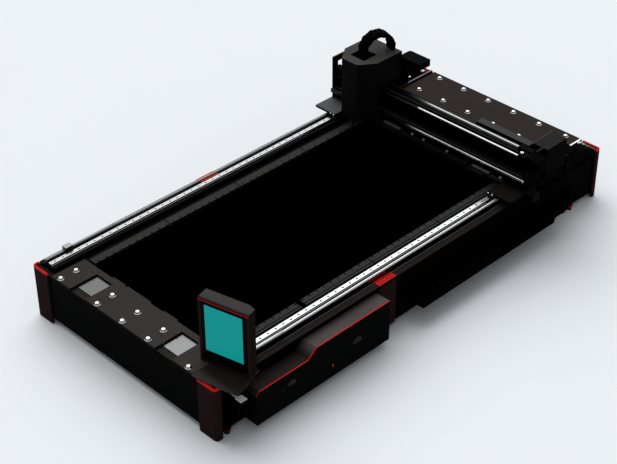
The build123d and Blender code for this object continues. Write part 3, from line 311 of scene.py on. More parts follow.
# The middle caps, above the corner caps' height, get a darker red; across the right one's top, painted shade
# lines with a painted highlight band between
beyond(red_paint, axis_z, 0.1576, 0.1577, (0.30, 0.006, 0.004), (0.45, 0.010, 0.006))
banded(red_paint, "second_surface", "Top Colour", axis_x, 0.340, [
    (0.3185, cap_red), (0.3222, (0.10, 0.004, 0.003)), (0.3245, (0.60, 0.012, 0.008)),
    (0.3315, (0.14, 0.005, 0.004)), (0.3340, cap_red)])
red_line = finish("red_line", (0.05, 0.003, 0.003), 0.4, specular=0.02, shade=0.06, top=(0.62, 0.016, 0.010))
screen_line = finish("screen_line", (0.22, 0.010, 0.008), 0.4, specular=0.02, shade=0.06)
strip_top = (0.036, 0.035, 0.034)
strip_grey = finish("strip_grey", grey(0.0008), 0.5, specular=0.01, top=(0.034, 0.033, 0.032))
# A painted shade line along the strip's top
banded(strip_grey, "surface", "Top Colour", axis_x, 0.260, [
    (0.234, strip_top), (0.2500, grey(0.0008)), (0.2530, strip_top)])

# Rails, screws and other metals
pad_metal = finish("pad_metal", grey(0.072), 0.38, metallic=1.0, shade=0.3, patch=260.0,
                   grain=(1500.0, 40.0, 300.0))
# The right pads are a lighter copy of the left ones: painted light
beyond(pad_metal, axis_x, -0.05, 0.05, grey(0.128), grey(0.128))
rail_steel = finish("rail_steel", grey(0.30), 0.25, metallic=1.0, shade=0.08,
                    grain=(1500.0, 25.0, 1500.0), rough=0.1, top=grey(0.24))
# Painted reflection: the right rail's top is brighter than the left one's
beyond(rail_steel, axis_x, 0.0, 0.001, grey(0.30), grey(0.40))
# Painted shade in the rails' side grooves, with a painted highlight line between
for half in ("surface", "second_surface"):
    banded(rail_steel, half, "Colour", axis_z, 0.172, [
        (0.164, grey(0.012)), (0.1665, grey(0.16)), (0.1690, grey(0.008))])
cross_steel = finish("cross_steel", grey(0.1), 0.3, metallic=1.0, shade=0.08,
                     grain=(25.0, 1500.0, 1500.0), rough=0.1, top=grey(0.60))
# Painted reflections on the cross rails: the upper one has bright faces under a dark top, both get painted
# highlight lines in steps, and both turn dark near the hood
beyond(cross_steel, axis_z, 0.25, 0.251, grey(0.85), grey(0.04))
banded(cross_steel, "surface", "Colour", axis_z, 0.219, [(0.207, grey(0.006)), (0.2160, grey(0.65))])
banded(cross_steel, "second_surface", "Colour", axis_z, 0.285, [
    (0.277, grey(0.06)), (0.2782, grey(0.01)), (0.2808, grey(0.50))])
banded(cross_steel, "second_surface", "Top Colour", axis_y, 0.404, [
    (0.392, grey(0.012)), (0.3960, grey(0.30)), (0.4004, grey(0.012))])
dark_before(cross_steel, axis_x, -0.070, 0.005, grey(0.012))
# Painted light on the threads: the left one's finish is a darker copy of the right one's, painted shade; the
# cross one is dark with a painted highlight on top and painted shade near the hood
thread_steel = finish("thread_steel", grey(0.22), 0.4, metallic=1.0, shade=0.1, top=grey(0.45))
cross_thread_steel = finish("cross_thread_steel", grey(0.02), 0.4, metallic=1.0, shade=0.1, top=grey(0.45))
dark_before(cross_thread_steel, axis_x, -0.036, -0.028, grey(0.012))
shaded_thread_steel = finish("shaded_thread_steel", grey(0.12), 0.4, metallic=1.0, shade=0.15, top=grey(0.18))
support_metal = finish("support_metal", grey(0.04), 0.35, metallic=1.0, top=grey(0.16))
# The right screw supports get brighter tops and darker sides than the left ones: painted light
beyond(support_metal, axis_x, 0.0, 0.001, grey(0.02), grey(0.36))
carriage_steel = finish("carriage_steel", grey(0.012), 0.4, metallic=0.6, specular=0.01)
fin_metal = finish("fin_metal", grey(0.10), 0.35, metallic=1.0, top=grey(0.45))
# A painted reflection across the fins' tops, from light to dark along x
banded(fin_metal, "surface", "Top Colour", axis_x, 0.338, [
    (0.284, grey(0.45)), (0.297, grey(0.22)), (0.311, grey(0.08)), (0.325, grey(0.02))])
chrome = finish("chrome", grey(0.55), 0.16, metallic=1.0, shade=0.05, rough=0.05)
# The regulator's white top over black sides stands for its chrome: a painted highlight
regulator_chrome = finish("regulator_chrome", grey(0.002), 0.3, specular=0.01, top=(0.95, 0.95, 0.96))
cheek_metal = finish("cheek_metal", grey(0.02), 0.3, metallic=1.0, grain=(300.0, 25.0, 1500.0),
                     top=grey(0.05))
# Painted highlight on the right motor cheek's top
beyond(cheek_metal, axis_x, 0.0, 0.001, grey(0.08), grey(0.40))
plated = finish("plated", grey(0.55), 0.4, metallic=0.2, specular=0.2, shade=0.05, rough=0.05)
brass = finish("brass", (0.22, 0.15, 0.06), 0.32, metallic=1.0)

# Gantry, head, control box, screen and small pieces
foot_grey = finish("foot_grey", grey(0.0015), 0.4, specular=0.01, top=(0.100, 0.100, 0.104))
# The right foot plate is a darker copy of the left one: painted shade
beyond(foot_grey, axis_x, 0.0, 0.001, (0.0012, 0.0010, 0.0010), (0.0095, 0.0078, 0.0070))
plate_black = finish("plate_black", grey(0.0008), 0.5, specular=0.003, top=grey(0.004))
shelf_grey = finish("shelf_grey", grey(0.0008), 0.5, specular=0.005, top=(0.058, 0.056, 0.055))
beyond(shelf_grey, axis_x, 0.316, 0.317, grey(0.0006), (0.022, 0.0213, 0.0208))
motor_black = finish("motor_black", grey(0.0006), 0.5, specular=0.002, top=grey(0.0012))
box_side = (0.0045, 0.0032, 0.0030)
box_brown = finish("box_brown", box_side, 0.48, specular=0.005, top=(0.024, 0.020, 0.018))
# Painted shadow of the screen and wing on the box's low front top; the raised top is lighter
beyond(box_brown, axis_z, 0.120, 0.139, box_side, (0.086, 0.074, 0.070))
panel_black = finish("panel_black", (0.0026, 0.0027, 0.0027), 0.45, specular=0.003)
port_grey = finish("port_grey", (0.020, 0.019, 0.018), 0.5, specular=0.02, top=(0.08, 0.078, 0.076))
chain_plastic = finish("chain_plastic", grey(0.0007), 0.5, specular=0.002, top=grey(0.0014))
moulded_black = finish("moulded_black", grey(0.0010), 0.5, specular=0.003, top=(0.0030, 0.0031, 0.0032))
shell_brown = finish("shell_brown", (0.0080, 0.0046, 0.0044), 0.42, specular=0.005,
                     top=(0.052, 0.048, 0.0455))
bezel_brown = finish("bezel_brown", (0.0160, 0.0088, 0.0084), 0.42, specular=0.005)
glass_black = finish("glass_black", grey(0.0014), 0.15, specular=0.01, bump=0.0)
hood_black = finish("hood_black", (0.0052, 0.0042, 0.0039), 0.45, specular=0.008, top=(0.054, 0.052, 0.050))
foot_red = finish("foot_red", (0.06, 0.004, 0.004), 0.5, specular=0.02, shade=0.2)
beyond(foot_red, axis_y, 0.0, 0.001, (0.34, 0.010, 0.020), (0.34, 0.010, 0.020))
clip_grey = finish("clip_grey", grey(0.015), 0.5, specular=0.01, top=(0.135, 0.130, 0.126))
key_red = finish("key_red", (0.45, 0.010, 0.008), 0.35, specular=0.1)
board_green = finish("board_green", (0.01, 0.09, 0.03), 0.5, shade=0.3, patch=60.0)
# Painted shade for the grooves, sockets and holes of heads and bores
recess_shade = finish("recess_shade", grey(0.002), 0.6, specular=0.01)
screw_black = finish("screw_black", grey(0.0015), 0.4, specular=0.05)


def screen_finish():
    """A lit display: even teal with a faint grain."""
    teal = (0.0045, 0.31, 0.30, 1.0)
    material = finish("screen_teal", (0.002, 0.01, 0.01), 0.15, specular=0.03, bump=0.0)
    tree = material.node_tree
    surface = add_node(tree, "ShaderNodeGroup", {
        "Colour": teal, "Top Colour": teal, "Shade Spread": 0.03, "Grain": (2500.0, 2500.0, 2500.0),
        "Patch": even_patch}, node_tree=surface_grain)
    feed(tree, tree.nodes["Principled BSDF"], {
        "Emission Color": surface.outputs["Colour"], "Emission Strength": 0.85})
    return material


screen_teal = screen_finish()

# Floor
floor_reach = 30
floor_corners = [(x * floor_reach, y * floor_reach, 0) for x, y in ((-1, -1), (1, -1), (1, 1), (-1, 1))]
floor = mesh_piece("floor", floor_corners, [(0, 1, 2, 3)])
floor_white = bpy.data.materials.new("floor_white")
floor_white.use_nodes = True
feed(floor_white.node_tree, floor_white.node_tree.nodes["Principled BSDF"], {
    "Base Color": (0.87, 0.90, 0.925, 1.0), "Roughness": 0.9, "Specular IOR Level": 0.0})
floor.data.materials.append(floor_white)
floor.location.z = -0.0005


# Finishes and softened edges on the construction's own solids
def dress(material, edge, *names):
    """One finish for some solids, with edges rounded by a width in millimetres where it is given."""
    for name in names:
        solid = nodes[name]
        solid.data.materials.clear()
        solid.data.materials.append(material)
        if edge:
            weld = solid.modifiers.new("joined", "WELD")
            weld.merge_threshold = 0.00002
            flat = solid.modifiers.new("plain_faces", "DECIMATE")
            flat.decimate_type = "DISSOLVE"
            flat.angle_limit = math.radians(1)
            soft = solid.modifiers.new("soft_edges", "BEVEL")
            soft.width = edge / 1000
            soft.segments = 2
            soft.limit_method = "ANGLE"
            soft.angle_limit = math.radians(40)
            soft.harden_normals = True


dress(near_black, 0.8, "right_beam")
dress(beam_black, 0.8, "cross_beam", "gantry_beam", "end_plates")
dress(far_black, 0.8, "left_beam")
dress(wall_black, 0.8, "end_beams")
dress(deck_brown, 0.8, "front_deck")
dress(foot_grey, 0.8, "foot_plates")
dress(wing_black, 0.8, "screen_base")
dress(rear_brown, 0.8, "rear_deck")
dress(pan_black, 0.0, "bed_pan")
dress(void_black, 0.0, "bed_slats")
dress(tray_black, 0.0, "chain_tray", "chain_shelf")
dress(post_brown, 0.8, "frame_posts")
dress(red_paint, 0.6, "red_caps")
dress(red_line, 0.4, "control_trim")
dress(screen_line, 0.3, "screen_trim")
dress(strip_grey, 0.0, "slat_strips")
dress(pad_metal, 0.4, "window_pads")
dress(cheek_metal, 0.5, "motor_cheeks")
dress(rail_steel, 0.0, "side_rails")
dress(cross_steel, 0.0, "cross_rails")
dress(carriage_steel, 0.6, "side_carriages", "head_carriages")
dress(support_metal, 0.5, "screw_supports")
dress(plate_black, 0.5, "motor_brackets", "side_nuts", "head_nut", "cross_bearings", "head_plate",
      "lift_slide", "laser_body")
dress(shelf_grey, 0.5, "cable_shelf")
dress(motor_black, 0.0, "side_motors", "cross_motor", "lift_motor")
dress(box_brown, 0.8, "control_box")
dress(panel_black, 0.0, "control_panel")
dress(port_grey, 0.3, "control_ports")
dress(moulded_black, 0.0, "cable_guide", "regulator_bowl")
dress(chain_plastic, 0.0, "long_chain", "cross_chain", "loop_chain")
dress(shell_brown, 0.6, "screen_shell")
dress(bezel_brown, 0.6, "screen_bezel")
dress(screen_teal, 0.0, "screen_glass")
dress(hood_black, 1.0, "hood")
dress(brass, 0.0, "nozzle")
dress(foot_red, 0.0, "levelling_feet")
dress(moulded_black, 0.0, "foot_pads")
dress(key_red, 0.0, "power_key")
dress(board_green, 0.0, "control_electronics")
dress(regulator_chrome, 0.5, "air_regulator")
dress(chrome, 0.0, "hinge_pin", "deck_screws", "left_screw", "right_screw", "cross_screw")


def loose_boxes(name):
    """Lowest and highest corners of each separate solid in a construction node."""
    cells_per_metre = 20000
    mesh = nodes[name].data
    owner = {}

    def root(key):
        while owner[key] != key:
            owner[key] = owner[owner[key]]
            key = owner[key]
        return key

    keys = [tuple(round(c * cells_per_metre) for c in v.co) for v in mesh.vertices]
    for key in keys:
        owner.setdefault(key, key)
    for polygon in mesh.polygons:
        first = root(keys[polygon.vertices[0]])
        for index in polygon.vertices[1:]:
            owner[root(keys[index])] = first
    groups = {}
    for key, vertex in zip(keys, mesh.vertices):
        groups.setdefault(root(key), []).append(vertex.co)
    boxes = []
    for points in groups.values():
        points = np.array(points)
        boxes.append((Vector(points.min(0)), Vector(points.max(0))))
    return sorted(boxes, key=lambda box: tuple(round(c, 4) for c in box[0]))


# Small turned shapes that the rows below repeat
def turned(name, rings, sides, dark):
    """A turned shape from rings of (radius, height, flats) in mm; the bands in dark are its recess, which
    takes a painted shade.
    """
    verts = []
    loops = []
    for radius, height, flats in rings:
        loop = []
        for index in range(1 if radius == 0 else sides):
            angle = 2 * math.pi * index / sides
            reach = radius
            if flats:
                part = 2 * math.pi / flats
                reach = radius / math.cos((angle + part / 2) % part - part / 2)
            loop.append(len(verts))
            verts.append(Vector((reach * math.cos(angle), reach * math.sin(angle), height)) / 1000)
        loops.append(loop)
    faces = []
    recess = []
    for ring, (lower, upper) in enumerate(zip(loops, loops[1:])):
        for index in range(sides):
            after = (index + 1) % sides
            if len(lower) == 1:
                face = (lower[0], upper[after], upper[index])
            elif len(upper) == 1:
                face = (lower[index], lower[after], upper[0])
            else:
                face = (lower[index], lower[after], upper[after], upper[index])
            faces.append(face)
            recess.append(ring in dark)
    piece = mesh_piece(name, verts, faces)
    marks = piece.data.attributes.new("recess", "BOOLEAN", "FACE")
    marks.data.foreach_set("value", recess)
    return piece


button_head = turned("button_head", [
    (0, -0.5, 0), (8.5, -0.5, 0), (8.7, 0.0, 0), (7.4, 1.5, 0), (6.4, 1.5, 0),
    (6.1, 1.3, 0), (5.9, 3.4, 0), (5.2, 4.5, 0), (4.0, 5.1, 0), (2.2, 5.4, 0), (0, 5.5, 0)],
    sides=24, dark=(3, 4, 5))
knob_head = turned("knob_head", [
    (0, -9.0, 0), (5.6, -9.0, 0), (5.8, -8.6, 0), (5.8, 4.2, 0), (5.3, 4.9, 0), (4.6, 5.0, 0),
    (3.8, 4.6, 0), (0, 4.5, 0)], sides=24, dark=(5, 6))
cap_head = turned("cap_head", [
    (0, -0.3, 0), (3.4, -0.3, 0), (3.5, 0.0, 0), (3.5, 3.2, 0), (3.2, 3.6, 0), (1.8, 3.6, 6),
    (1.7, 1.6, 6), (0, 1.4, 0)], sides=18, dark=(5, 6))
flush_head = turned("flush_head", [
    (0, -0.2, 0), (4.4, -0.2, 0), (4.5, 0.1, 0), (4.2, 0.35, 0), (1.8, 0.3, 6), (1.7, -0.1, 6),
    (0, -0.15, 0)], sides=18, dark=(4, 5))
rail_bore = turned("rail_bore", [
    (0, -0.2, 0), (3.9, -0.2, 0), (3.9, 0.12, 0), (3.5, 0.1, 0), (0, 0.05, 0)], sides=14, dark=(2, 3))


# Rows of fasteners, bores and links
def row_tree(name, inputs):
    """An empty geometry group for a row of shapes that have an outer and a recessed finish, the recessed one
    a painted shade.
    """
    finishes = [("Outer Finish", "Material"), ("Recess Finish", "Material")]
    return socket_group(name, "GeometryNodeTree", inputs + finishes, [("Geometry", "Geometry")])


def finish_rows(tree, given, result, instances):
    """Realizes the instances and gives the recessed faces their own finish, a painted shade in grooves,
    sockets and holes.
    """
    real = add_node(tree, "GeometryNodeRealizeInstances", {"Geometry": instances})
    outer = add_node(tree, "GeometryNodeSetMaterial", {
        "Geometry": real.outputs["Geometry"], "Material": given["Outer Finish"]})
    marks = add_node(tree, "GeometryNodeInputNamedAttribute", {"Name": "recess"}, data_type="BOOLEAN")
    inner = add_node(tree, "GeometryNodeSetMaterial", {
        "Geometry": outer.outputs["Geometry"], "Selection": marks.outputs["Attribute"],
        "Material": given["Recess Finish"]})
    feed(tree, result, {"Geometry": inner.outputs["Geometry"]})
    return tree


def instance_of(tree, shape):
    found = add_node(tree, "GeometryNodeObjectInfo", {"Object": shape, "As Instance": True})
    return found.outputs["Geometry"]


def facing_copies(tree, given, points, shape, facing):
    """Copies of a shape on points, scaled by Size and turned to face one way."""
    aligned = add_node(tree, "FunctionNodeAlignRotationToVector", {"Vector": facing}, axis="Z")
    copies = add_node(tree, "GeometryNodeInstanceOnPoints", {
        "Points": points, "Instance": instance_of(tree, shape), "Rotation": aligned.outputs["Rotation"],
        "Scale": given["Size"]})
    return copies.outputs["Instances"]


def fastener_tree():
    """A head on every point, turned to the point's own facing, with a random turn of its socket."""
    tree, given, result = row_tree("fasteners_on_points", [
        ("Points", "Geometry"), ("Head", "Object"), ("Size", "Float"), ("Seed", "Int")])
    facing = add_node(tree, "GeometryNodeInputNamedAttribute", {"Name": "facing"}, data_type="FLOAT_VECTOR")
    heads = facing_copies(tree, given, given["Points"], given["Head"], facing.outputs["Attribute"])
    highest_value = 3
    turn = add_node(tree, "FunctionNodeRandomValue", {
        highest_value: 2 * math.pi, "Seed": given["Seed"]}, data_type="FLOAT")
    about = add_node(tree, "ShaderNodeCombineXYZ", {"Z": turn.outputs[1]})
    turned_heads = add_node(tree, "GeometryNodeRotateInstances", {
        "Instances": heads, "Rotation": about.outputs[0]})
    return finish_rows(tree, given, result, turned_heads.outputs["Instances"])


def bore_tree():
    """Evenly stepped bores along a rail."""
    tree, given, result = row_tree("bores_along_rail", [
        ("Points", "Geometry"), ("Bore", "Object"), ("Start", "Vector"), ("Step", "Vector"),
        ("Count", "Int"), ("Facing", "Vector"), ("Size", "Float")])
    row = add_node(tree, "GeometryNodeMeshLine", {
        "Count": given["Count"], "Start Location": given["Start"], "Offset": given["Step"]}, mode="OFFSET")
    copies = facing_copies(tree, given, row.outputs["Mesh"], given["Bore"], given["Facing"])
    return finish_rows(tree, given, result, copies)


def link_tree():
    """Outer and inner links in turn along a route."""
    tree, given, result = row_tree("links_along_route", [
        ("Route", "Geometry"), ("Outer Link", "Object"), ("Inner Link", "Object"), ("Count", "Int"),
        ("First", "Int"), ("Side", "Vector")])
    stations = add_node(tree, "GeometryNodeCurveToPoints", {
        "Curve": given["Route"], "Count": given["Count"]}, mode="COUNT").outputs
    axes = add_node(tree, "FunctionNodeAxesToRotation", {
        "Primary Axis": stations["Tangent"], "Secondary Axis": given["Side"]},
        primary_axis="X", secondary_axis="Y")
    index = add_node(tree, "GeometryNodeInputIndex").outputs[0]
    odd = calculate(tree, "MODULO", calculate(tree, "ADD", index, given["First"]), 2.0)
    even = calculate(tree, "SUBTRACT", 1.0, odd)
    joined = add_node(tree, "GeometryNodeJoinGeometry")
    for label, chosen in (("Inner Link", odd), ("Outer Link", even)):
        copies = add_node(tree, "GeometryNodeInstanceOnPoints", {
            "Points": stations["Points"], "Instance": instance_of(tree, given[label]),
            "Rotation": axes.outputs["Rotation"], "Selection": chosen})
        feed(tree, joined, {"Geometry": copies.outputs["Instances"]})
    return finish_rows(tree, given, result, joined.outputs["Geometry"])


fasteners_on_points = fastener_tree()
bores_along_rail = bore_tree()
links_along_route = link_tree()


def grown(name, tree, source, inputs):
    """Runs a tree on a source object and keeps the result as a plain mesh piece."""
    modifier = source.modifiers.new(tree.name, "NODES")
    modifier.node_group = tree
    for socket in tree.interface.items_tree:
        if socket.in_out == "INPUT" and socket.name in inputs:
            modifier[socket.identifier] = inputs[socket.name]
    depsgraph = bpy.context.evaluated_depsgraph_get()
    mesh = bpy.data.meshes.new_from_object(source.evaluated_get(depsgraph))
    mesh.name = name
    bpy.data.objects.remove(source)
    for spare in [a.name for a in mesh.attributes if a.name in ("facing", "recess")]:
        mesh.attributes.remove(mesh.attributes[spare])
    piece = bpy.data.objects.new(name, mesh)
    scene.collection.objects.link(piece)
    return piece


def smooth(piece, angle=40):
    """Smooth shading that keeps edges sharper than the angle."""
    piece.data.shade_smooth()
    piece.data.set_sharp_from_angle(angle=math.radians(angle))
    return piece


def fasteners(name, body, head, places, metal, size, seed):
    """Heads at (point, facing) places, riding one body, with recesses painted black as shade."""
    source = mesh_piece(name + "_points", [spot for spot, way in places], [])
    facing = source.data.attributes.new("facing", "FLOAT_VECTOR", "POINT")
    facing.data.foreach_set("vector", [c for spot, way in places for c in way])
    piece = grown(name, fasteners_on_points, source, {
        "Head": head, "Size": size, "Seed": seed, "Outer Finish": metal, "Recess Finish": recess_shade})
    smooth(piece)
    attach(piece, body)
    return piece


up = (0, 0, 1)
forward = (0, -1, 0)

screw_places = []
for low, high in loose_boxes("deck_screws"):
    screw_places.append((Vector(((low.x + high.x) / 2, (low.y + high.y) / 2, low.z)), up))
deck_screw_heads = fasteners(
    "deck_screw_heads", "frame", button_head, screw_places, chrome, size=1.0, seed=4)
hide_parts("deck_screws")


def bores(name, body, low, high, along, facing, size, metal):
    """A row of bores in the middle of a rail's outer face, their holes painted black as shade."""
    pitch = 0.025
    end_room = 0.016
    count = int((high[along] - low[along] - end_room) / pitch) + 1
    start = (low + high) / 2
    start[along] -= (count - 1) * pitch / 2
    if facing == up:
        start.z = high.z
    else:
        start.y = low.y
    step = Vector((0, 0, 0))
    step[along] = pitch
    source = mesh_piece(name + "_row", [(0, 0, 0)], [])
    piece = grown(name, bores_along_rail, source, {
        "Bore": rail_bore, "Start": start, "Step": step, "Count": count, "Facing": facing,
        "Size": size, "Outer Finish": metal, "Recess Finish": recess_shade})
    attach(piece, body)


left_rail, right_rail = loose_boxes("side_rails")
bores("left_rail_bores", "frame", *left_rail, axis_y, up, 0.6, rail_steel)
bores("right_rail_bores", "frame", *right_rail, axis_y, up, 0.7, rail_steel)
lower_rail = min(loose_boxes("cross_rails"), key=lambda box: box[1].z)
bores("lower_rail_bores", "gantry", *lower_rail, axis_x, forward, 0.7, cross_steel)


# Threaded screws
def threaded_rod(name, body, replaced, along, metal):
    """A rod with a two-start thread between plain ends, which moves a nut 8 mm in a turn."""
    low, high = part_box(replaced)
    middle = (low + high) / 2
    radius = (high.z - low.z) / 2
    length = high[along] - low[along]
    sides = 12
    starts = 2
    lead = 0.008
    cut = 0.00018
    flank = 4
    plain_end = 0.012
    row_step = 0.001
    chamfer = 0.0008
    end_radius = radius - 0.0012
    rows = [0.0, chamfer]
    rows += [plain_end + row_step * step for step in range(int((length - 2 * plain_end) / row_step) + 1)]
    rows += [length - chamfer, length]
    last = len(rows) - 1
    verts = []
    for row, distance in enumerate(rows):
        for side in range(sides):
            angle = 2 * math.pi * side / sides
            wave = 0.5
            if 1 < row < last - 1:
                phase = (starts * (distance / lead - side / sides)) % 1.0
                wave = min(1.0, max(0.0, abs(phase - 0.5) * flank - 0.5))
            reach = end_radius if row in (0, last) else radius - cut * (1 - wave)
            across = (reach * math.cos(angle), reach * math.sin(angle))
            point = Vector((middle.x + across[0], low.y + distance, middle.z - across[1]))
            if along == axis_x:
                point = Vector((low.x + distance, middle.y + across[0], middle.z + across[1]))
            verts.append(point)
    faces = []
    for base in range(0, last * sides, sides):
        for side in range(sides):
            after = (side + 1) % sides
            faces.append((base + side, base + after, base + sides + after, base + sides + side))
    faces.append(tuple(range(sides))[::-1])
    faces.append(tuple(range(last * sides, len(rows) * sides)))
    piece = mesh_piece(name, verts, faces)
    piece.data.materials.append(metal)
    smooth(piece, 60)
    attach(piece, body)
    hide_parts(replaced)


threaded_rod("left_thread", "left_screw", "left_screw", axis_y, shaded_thread_steel)
threaded_rod("right_thread", "right_screw", "right_screw", axis_y, thread_steel)
threaded_rod("cross_thread", "cross_screw", "cross_screw", axis_x, cross_thread_steel)

# Cable chains; half a link is this share of its pitch long, so that neighbours overlap
link_reach = 0.7


def chain_link(name, pitch, width, height, inner, cover):
    """One link: side plates with round ends and a dished pin, tied by an arched bar above and below."""
    plate = 2.0
    running_gap = 0.4
    rim = 0.5
    rim_scale = 0.93
    rim_share_along = 0.6
    pin_depth = 0.2
    pin_rise = 0.3
    bar_thickness = 2.2
    bar_drop = 0.6
    bar_flat = 0.6
    offset = width / 2 - (plate + running_gap if inner else 0)
    reach = pitch * link_reach
    round_end = height * 0.45
    pin_radius = height * 0.2
    outline = []
    for end in (1, -1):
        for degrees in range(-90, 91, 30):
            angle = math.radians(degrees)
            outline.append((end * (reach - round_end + round_end * math.cos(angle)),
                            end * height / 2 * math.sin(angle)))
    pin = []
    for degrees in range(0, 360, 36):
        angle = math.radians(degrees)
        pin.append((pitch / 2 + pin_radius * math.cos(angle), pin_radius * math.sin(angle)))
    verts = []
    faces = []

    def slab(profile, start, finish_at, inset):
        """A plate between two planes across the link, its outer rim drawn in."""
        first = len(verts)
        count = len(profile)
        for y, scale in ((start, 1.0), (finish_at, 1.0), (finish_at + inset, rim_scale)):
            for x, z in profile:
                verts.append(Vector((x * (1 - (1 - scale) * rim_share_along), y, z * scale)) / 1000)
        for layer in range(2):
            for index in range(count):
                after = (index + 1) % count
                low = first + layer * count
                quad = (low + index, low + after, low + count + after, low + count + index)
                faces.append(quad if finish_at < start else quad[::-1])
        near = tuple(range(first, first + count))
        far = tuple(range(first + 2 * count, first + 3 * count))
        faces.append(near[::-1] if finish_at < start else near)
        faces.append(far if finish_at < start else far[::-1])

    for side in (-1, 1):
        slab(outline, side * (offset - plate), side * (offset - rim), side * rim)
        if not inner:
            slab(pin, side * (offset - pin_depth), side * (offset + pin_rise), side * pin_rise)
    bar = pitch * cover / 2
    sections = ((-offset + rim, bar_drop), (-offset * bar_flat, 0.0), (offset * bar_flat, 0.0),
                (offset - rim, bar_drop))
    for side in (-1, 1):
        first = len(verts)
        for y, drop in sections:
            top = side * (height / 2 - drop)
            low = side * (height / 2 - drop - bar_thickness)
            for x, z in ((-bar, top), (bar, top), (bar, low), (-bar, low)):
                verts.append(Vector((x, y, z)) / 1000)
        for low in range(first, first + 12, 4):
            for index in range(4):
                after = (index + 1) % 4
                quad = (low + index, low + after, low + 4 + after, low + 4 + index)
                faces.append(quad[::-1] if side < 0 else quad)
        ends = (tuple(range(first, first + 4)), tuple(range(first + 12, first + 16)))
        faces.append(ends[0][::-1] if side > 0 else ends[0])
        faces.append(ends[1] if side > 0 else ends[1][::-1])
    return mesh_piece(name, verts, faces)


def chain_place(distance, first, radius):
    """Place on a route that runs along, turns back over half a circle and returns."""
    bend = math.pi * radius
    if distance < first:
        return distance - first, radius
    if distance < first + bend:
        turn = (distance - first) / radius
        return radius * math.sin(turn), radius * math.cos(turn)
    return first + bend - distance, -radius


def chain_pieces(name, centre, along, outward, runs, radius, pitch, width, height, cover=0.52):
    """The links of the upper run, the bend and the lower run, as three pieces."""
    first, second = runs
    total = first + math.pi * radius + second
    count = round(total / pitch)
    step = total / (count - 1 + 2 * link_reach)
    outer = chain_link(name + "_outer", step, width, height, False, cover)
    inner = chain_link(name + "_inner", step, width, height, True, cover)
    along = Vector(along)
    outward = Vector(outward)
    stations = [(index + link_reach) * step for index in range(count)]
    limits = (0.0, first, first + math.pi * radius, total)
    pieces = []
    for label, samples, low, high in zip(("upper", "bend", "lower"), (2, 60, 2), limits, limits[1:]):
        held = [index for index, s in enumerate(stations) if low <= s < high]
        if not held:
            continue
        begin = stations[held[0]]
        end = stations[held[-1]]
        data = bpy.data.curves.new(name + "_route", "CURVE")
        data.dimensions = "3D"
        spline = data.splines.new("POLY")
        spline.points.add(samples - 1)
        for index in range(samples):
            u, v = chain_place(begin + (end - begin) * index / (samples - 1), first, radius)
            point = place(*centre) + (along * u + outward * v) / 1000
            spline.points[index].co = (*point, 1.0)
        route = bpy.data.objects.new(name + "_route", data)
        scene.collection.objects.link(route)
        piece = grown(name + "_" + label, links_along_route, route, {
            "Outer Link": outer, "Inner Link": inner, "Count": len(held), "First": held[0],
            "Side": outward.cross(along), "Outer Finish": chain_plastic, "Recess Finish": chain_plastic})
        pieces.append(piece)
    bpy.data.objects.remove(outer)
    bpy.data.objects.remove(inner)
    return pieces


# A bend moves half as far as its chain's moving end, so both ends of its blend lie equally far off
long_upper, long_bend, long_lower = chain_pieces(
    "long_chain", (363, 500, 111.5), (0, 1, 0), up, runs=(125, 500), radius=42.5, pitch=28, width=38,
    height=20)
far = Vector((1000, 0, 0))
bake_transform(long_upper, "frame", "gantry", place(363, 625, 154), place(363, 375, 154))
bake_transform(long_bend, "frame", "gantry", place(363, 500, 111.5) - far, place(363, 500, 111.5) + far)
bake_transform(long_lower, "frame", "gantry", place(363, 0, 69), place(363, 1000, 69))
for piece in (long_upper, long_bend, long_lower):
    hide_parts("long_chain")

cross_upper, cross_bend, cross_lower = chain_pieces(
    "cross_chain", (-300, 451, 245.8), (-1, 0, 0), up, runs=(135, 430), radius=33, pitch=26, width=24,
    height=22)
far = Vector((0, 1000, 0))
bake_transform(cross_upper, "gantry", "head", place(-435, 451, 278.8), place(-165, 451, 278.8))
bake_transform(cross_bend, "gantry", "head", place(-300, 451, 245.8) - far, place(-300, 451, 245.8) + far)
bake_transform(cross_lower, "gantry", "head", place(130, 451, 212.8), place(-730, 451, 212.8))
for piece in (cross_upper, cross_bend, cross_lower):
    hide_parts("cross_chain")

loop_turn = math.radians(18.6)
loop_outward = (-math.sin(loop_turn), -math.cos(loop_turn), 0)
loop_pieces = chain_pieces("loop_chain", (-205, 386.5, 392), up, loop_outward, runs=(47, 12), radius=43.5,
                           pitch=12.5, width=36, height=13.5, cover=1.0)
for piece in loop_pieces:
    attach(piece, "head")
    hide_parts("loop_chain")


# Black panel around the display
def screen_point(across, depth, height):
    """A point given from the screen's lower left corner, along and behind its turned front."""
    corner_x = 238
    corner_y = -671
    turn = math.radians(13.5)
    return place(corner_x + across * math.cos(turn) - depth * math.sin(turn),
                 corner_y + across * math.sin(turn) + depth * math.cos(turn), height)


def display_surround():
    """A thin dark panel with an opening for the display, its edges drawn in."""
    outer = ((8.5, 170.0), (130.5, 170.0), (130.5, 331.5), (8.5, 331.5))
    inner = ((16.5, 195.2), (119.5, 195.2), (119.5, 324.8), (16.5, 324.8))
    verts = []
    for ring, depth, grow in ((outer, 0.0, 0.0), (outer, -0.5, -0.5), (inner, -0.5, 0.6), (inner, 0.6, 0.0)):
        middle = ((ring[0][0] + ring[1][0]) / 2, (ring[0][1] + ring[2][1]) / 2)
        for x, z in ring:
            across = x + math.copysign(grow, x - middle[0])
            height = z + math.copysign(grow, z - middle[1])
            verts.append(screen_point(across, depth, height))
    faces = []
    for base in range(0, 12, 4):
        for side in range(4):
            after = (side + 1) % 4
            faces.append((base + side, base + after, base + 4 + after, base + 4 + side))
    panel = mesh_piece("display_surround", verts, faces)
    panel.data.materials.append(glass_black)
    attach(panel, "screen")


display_surround()


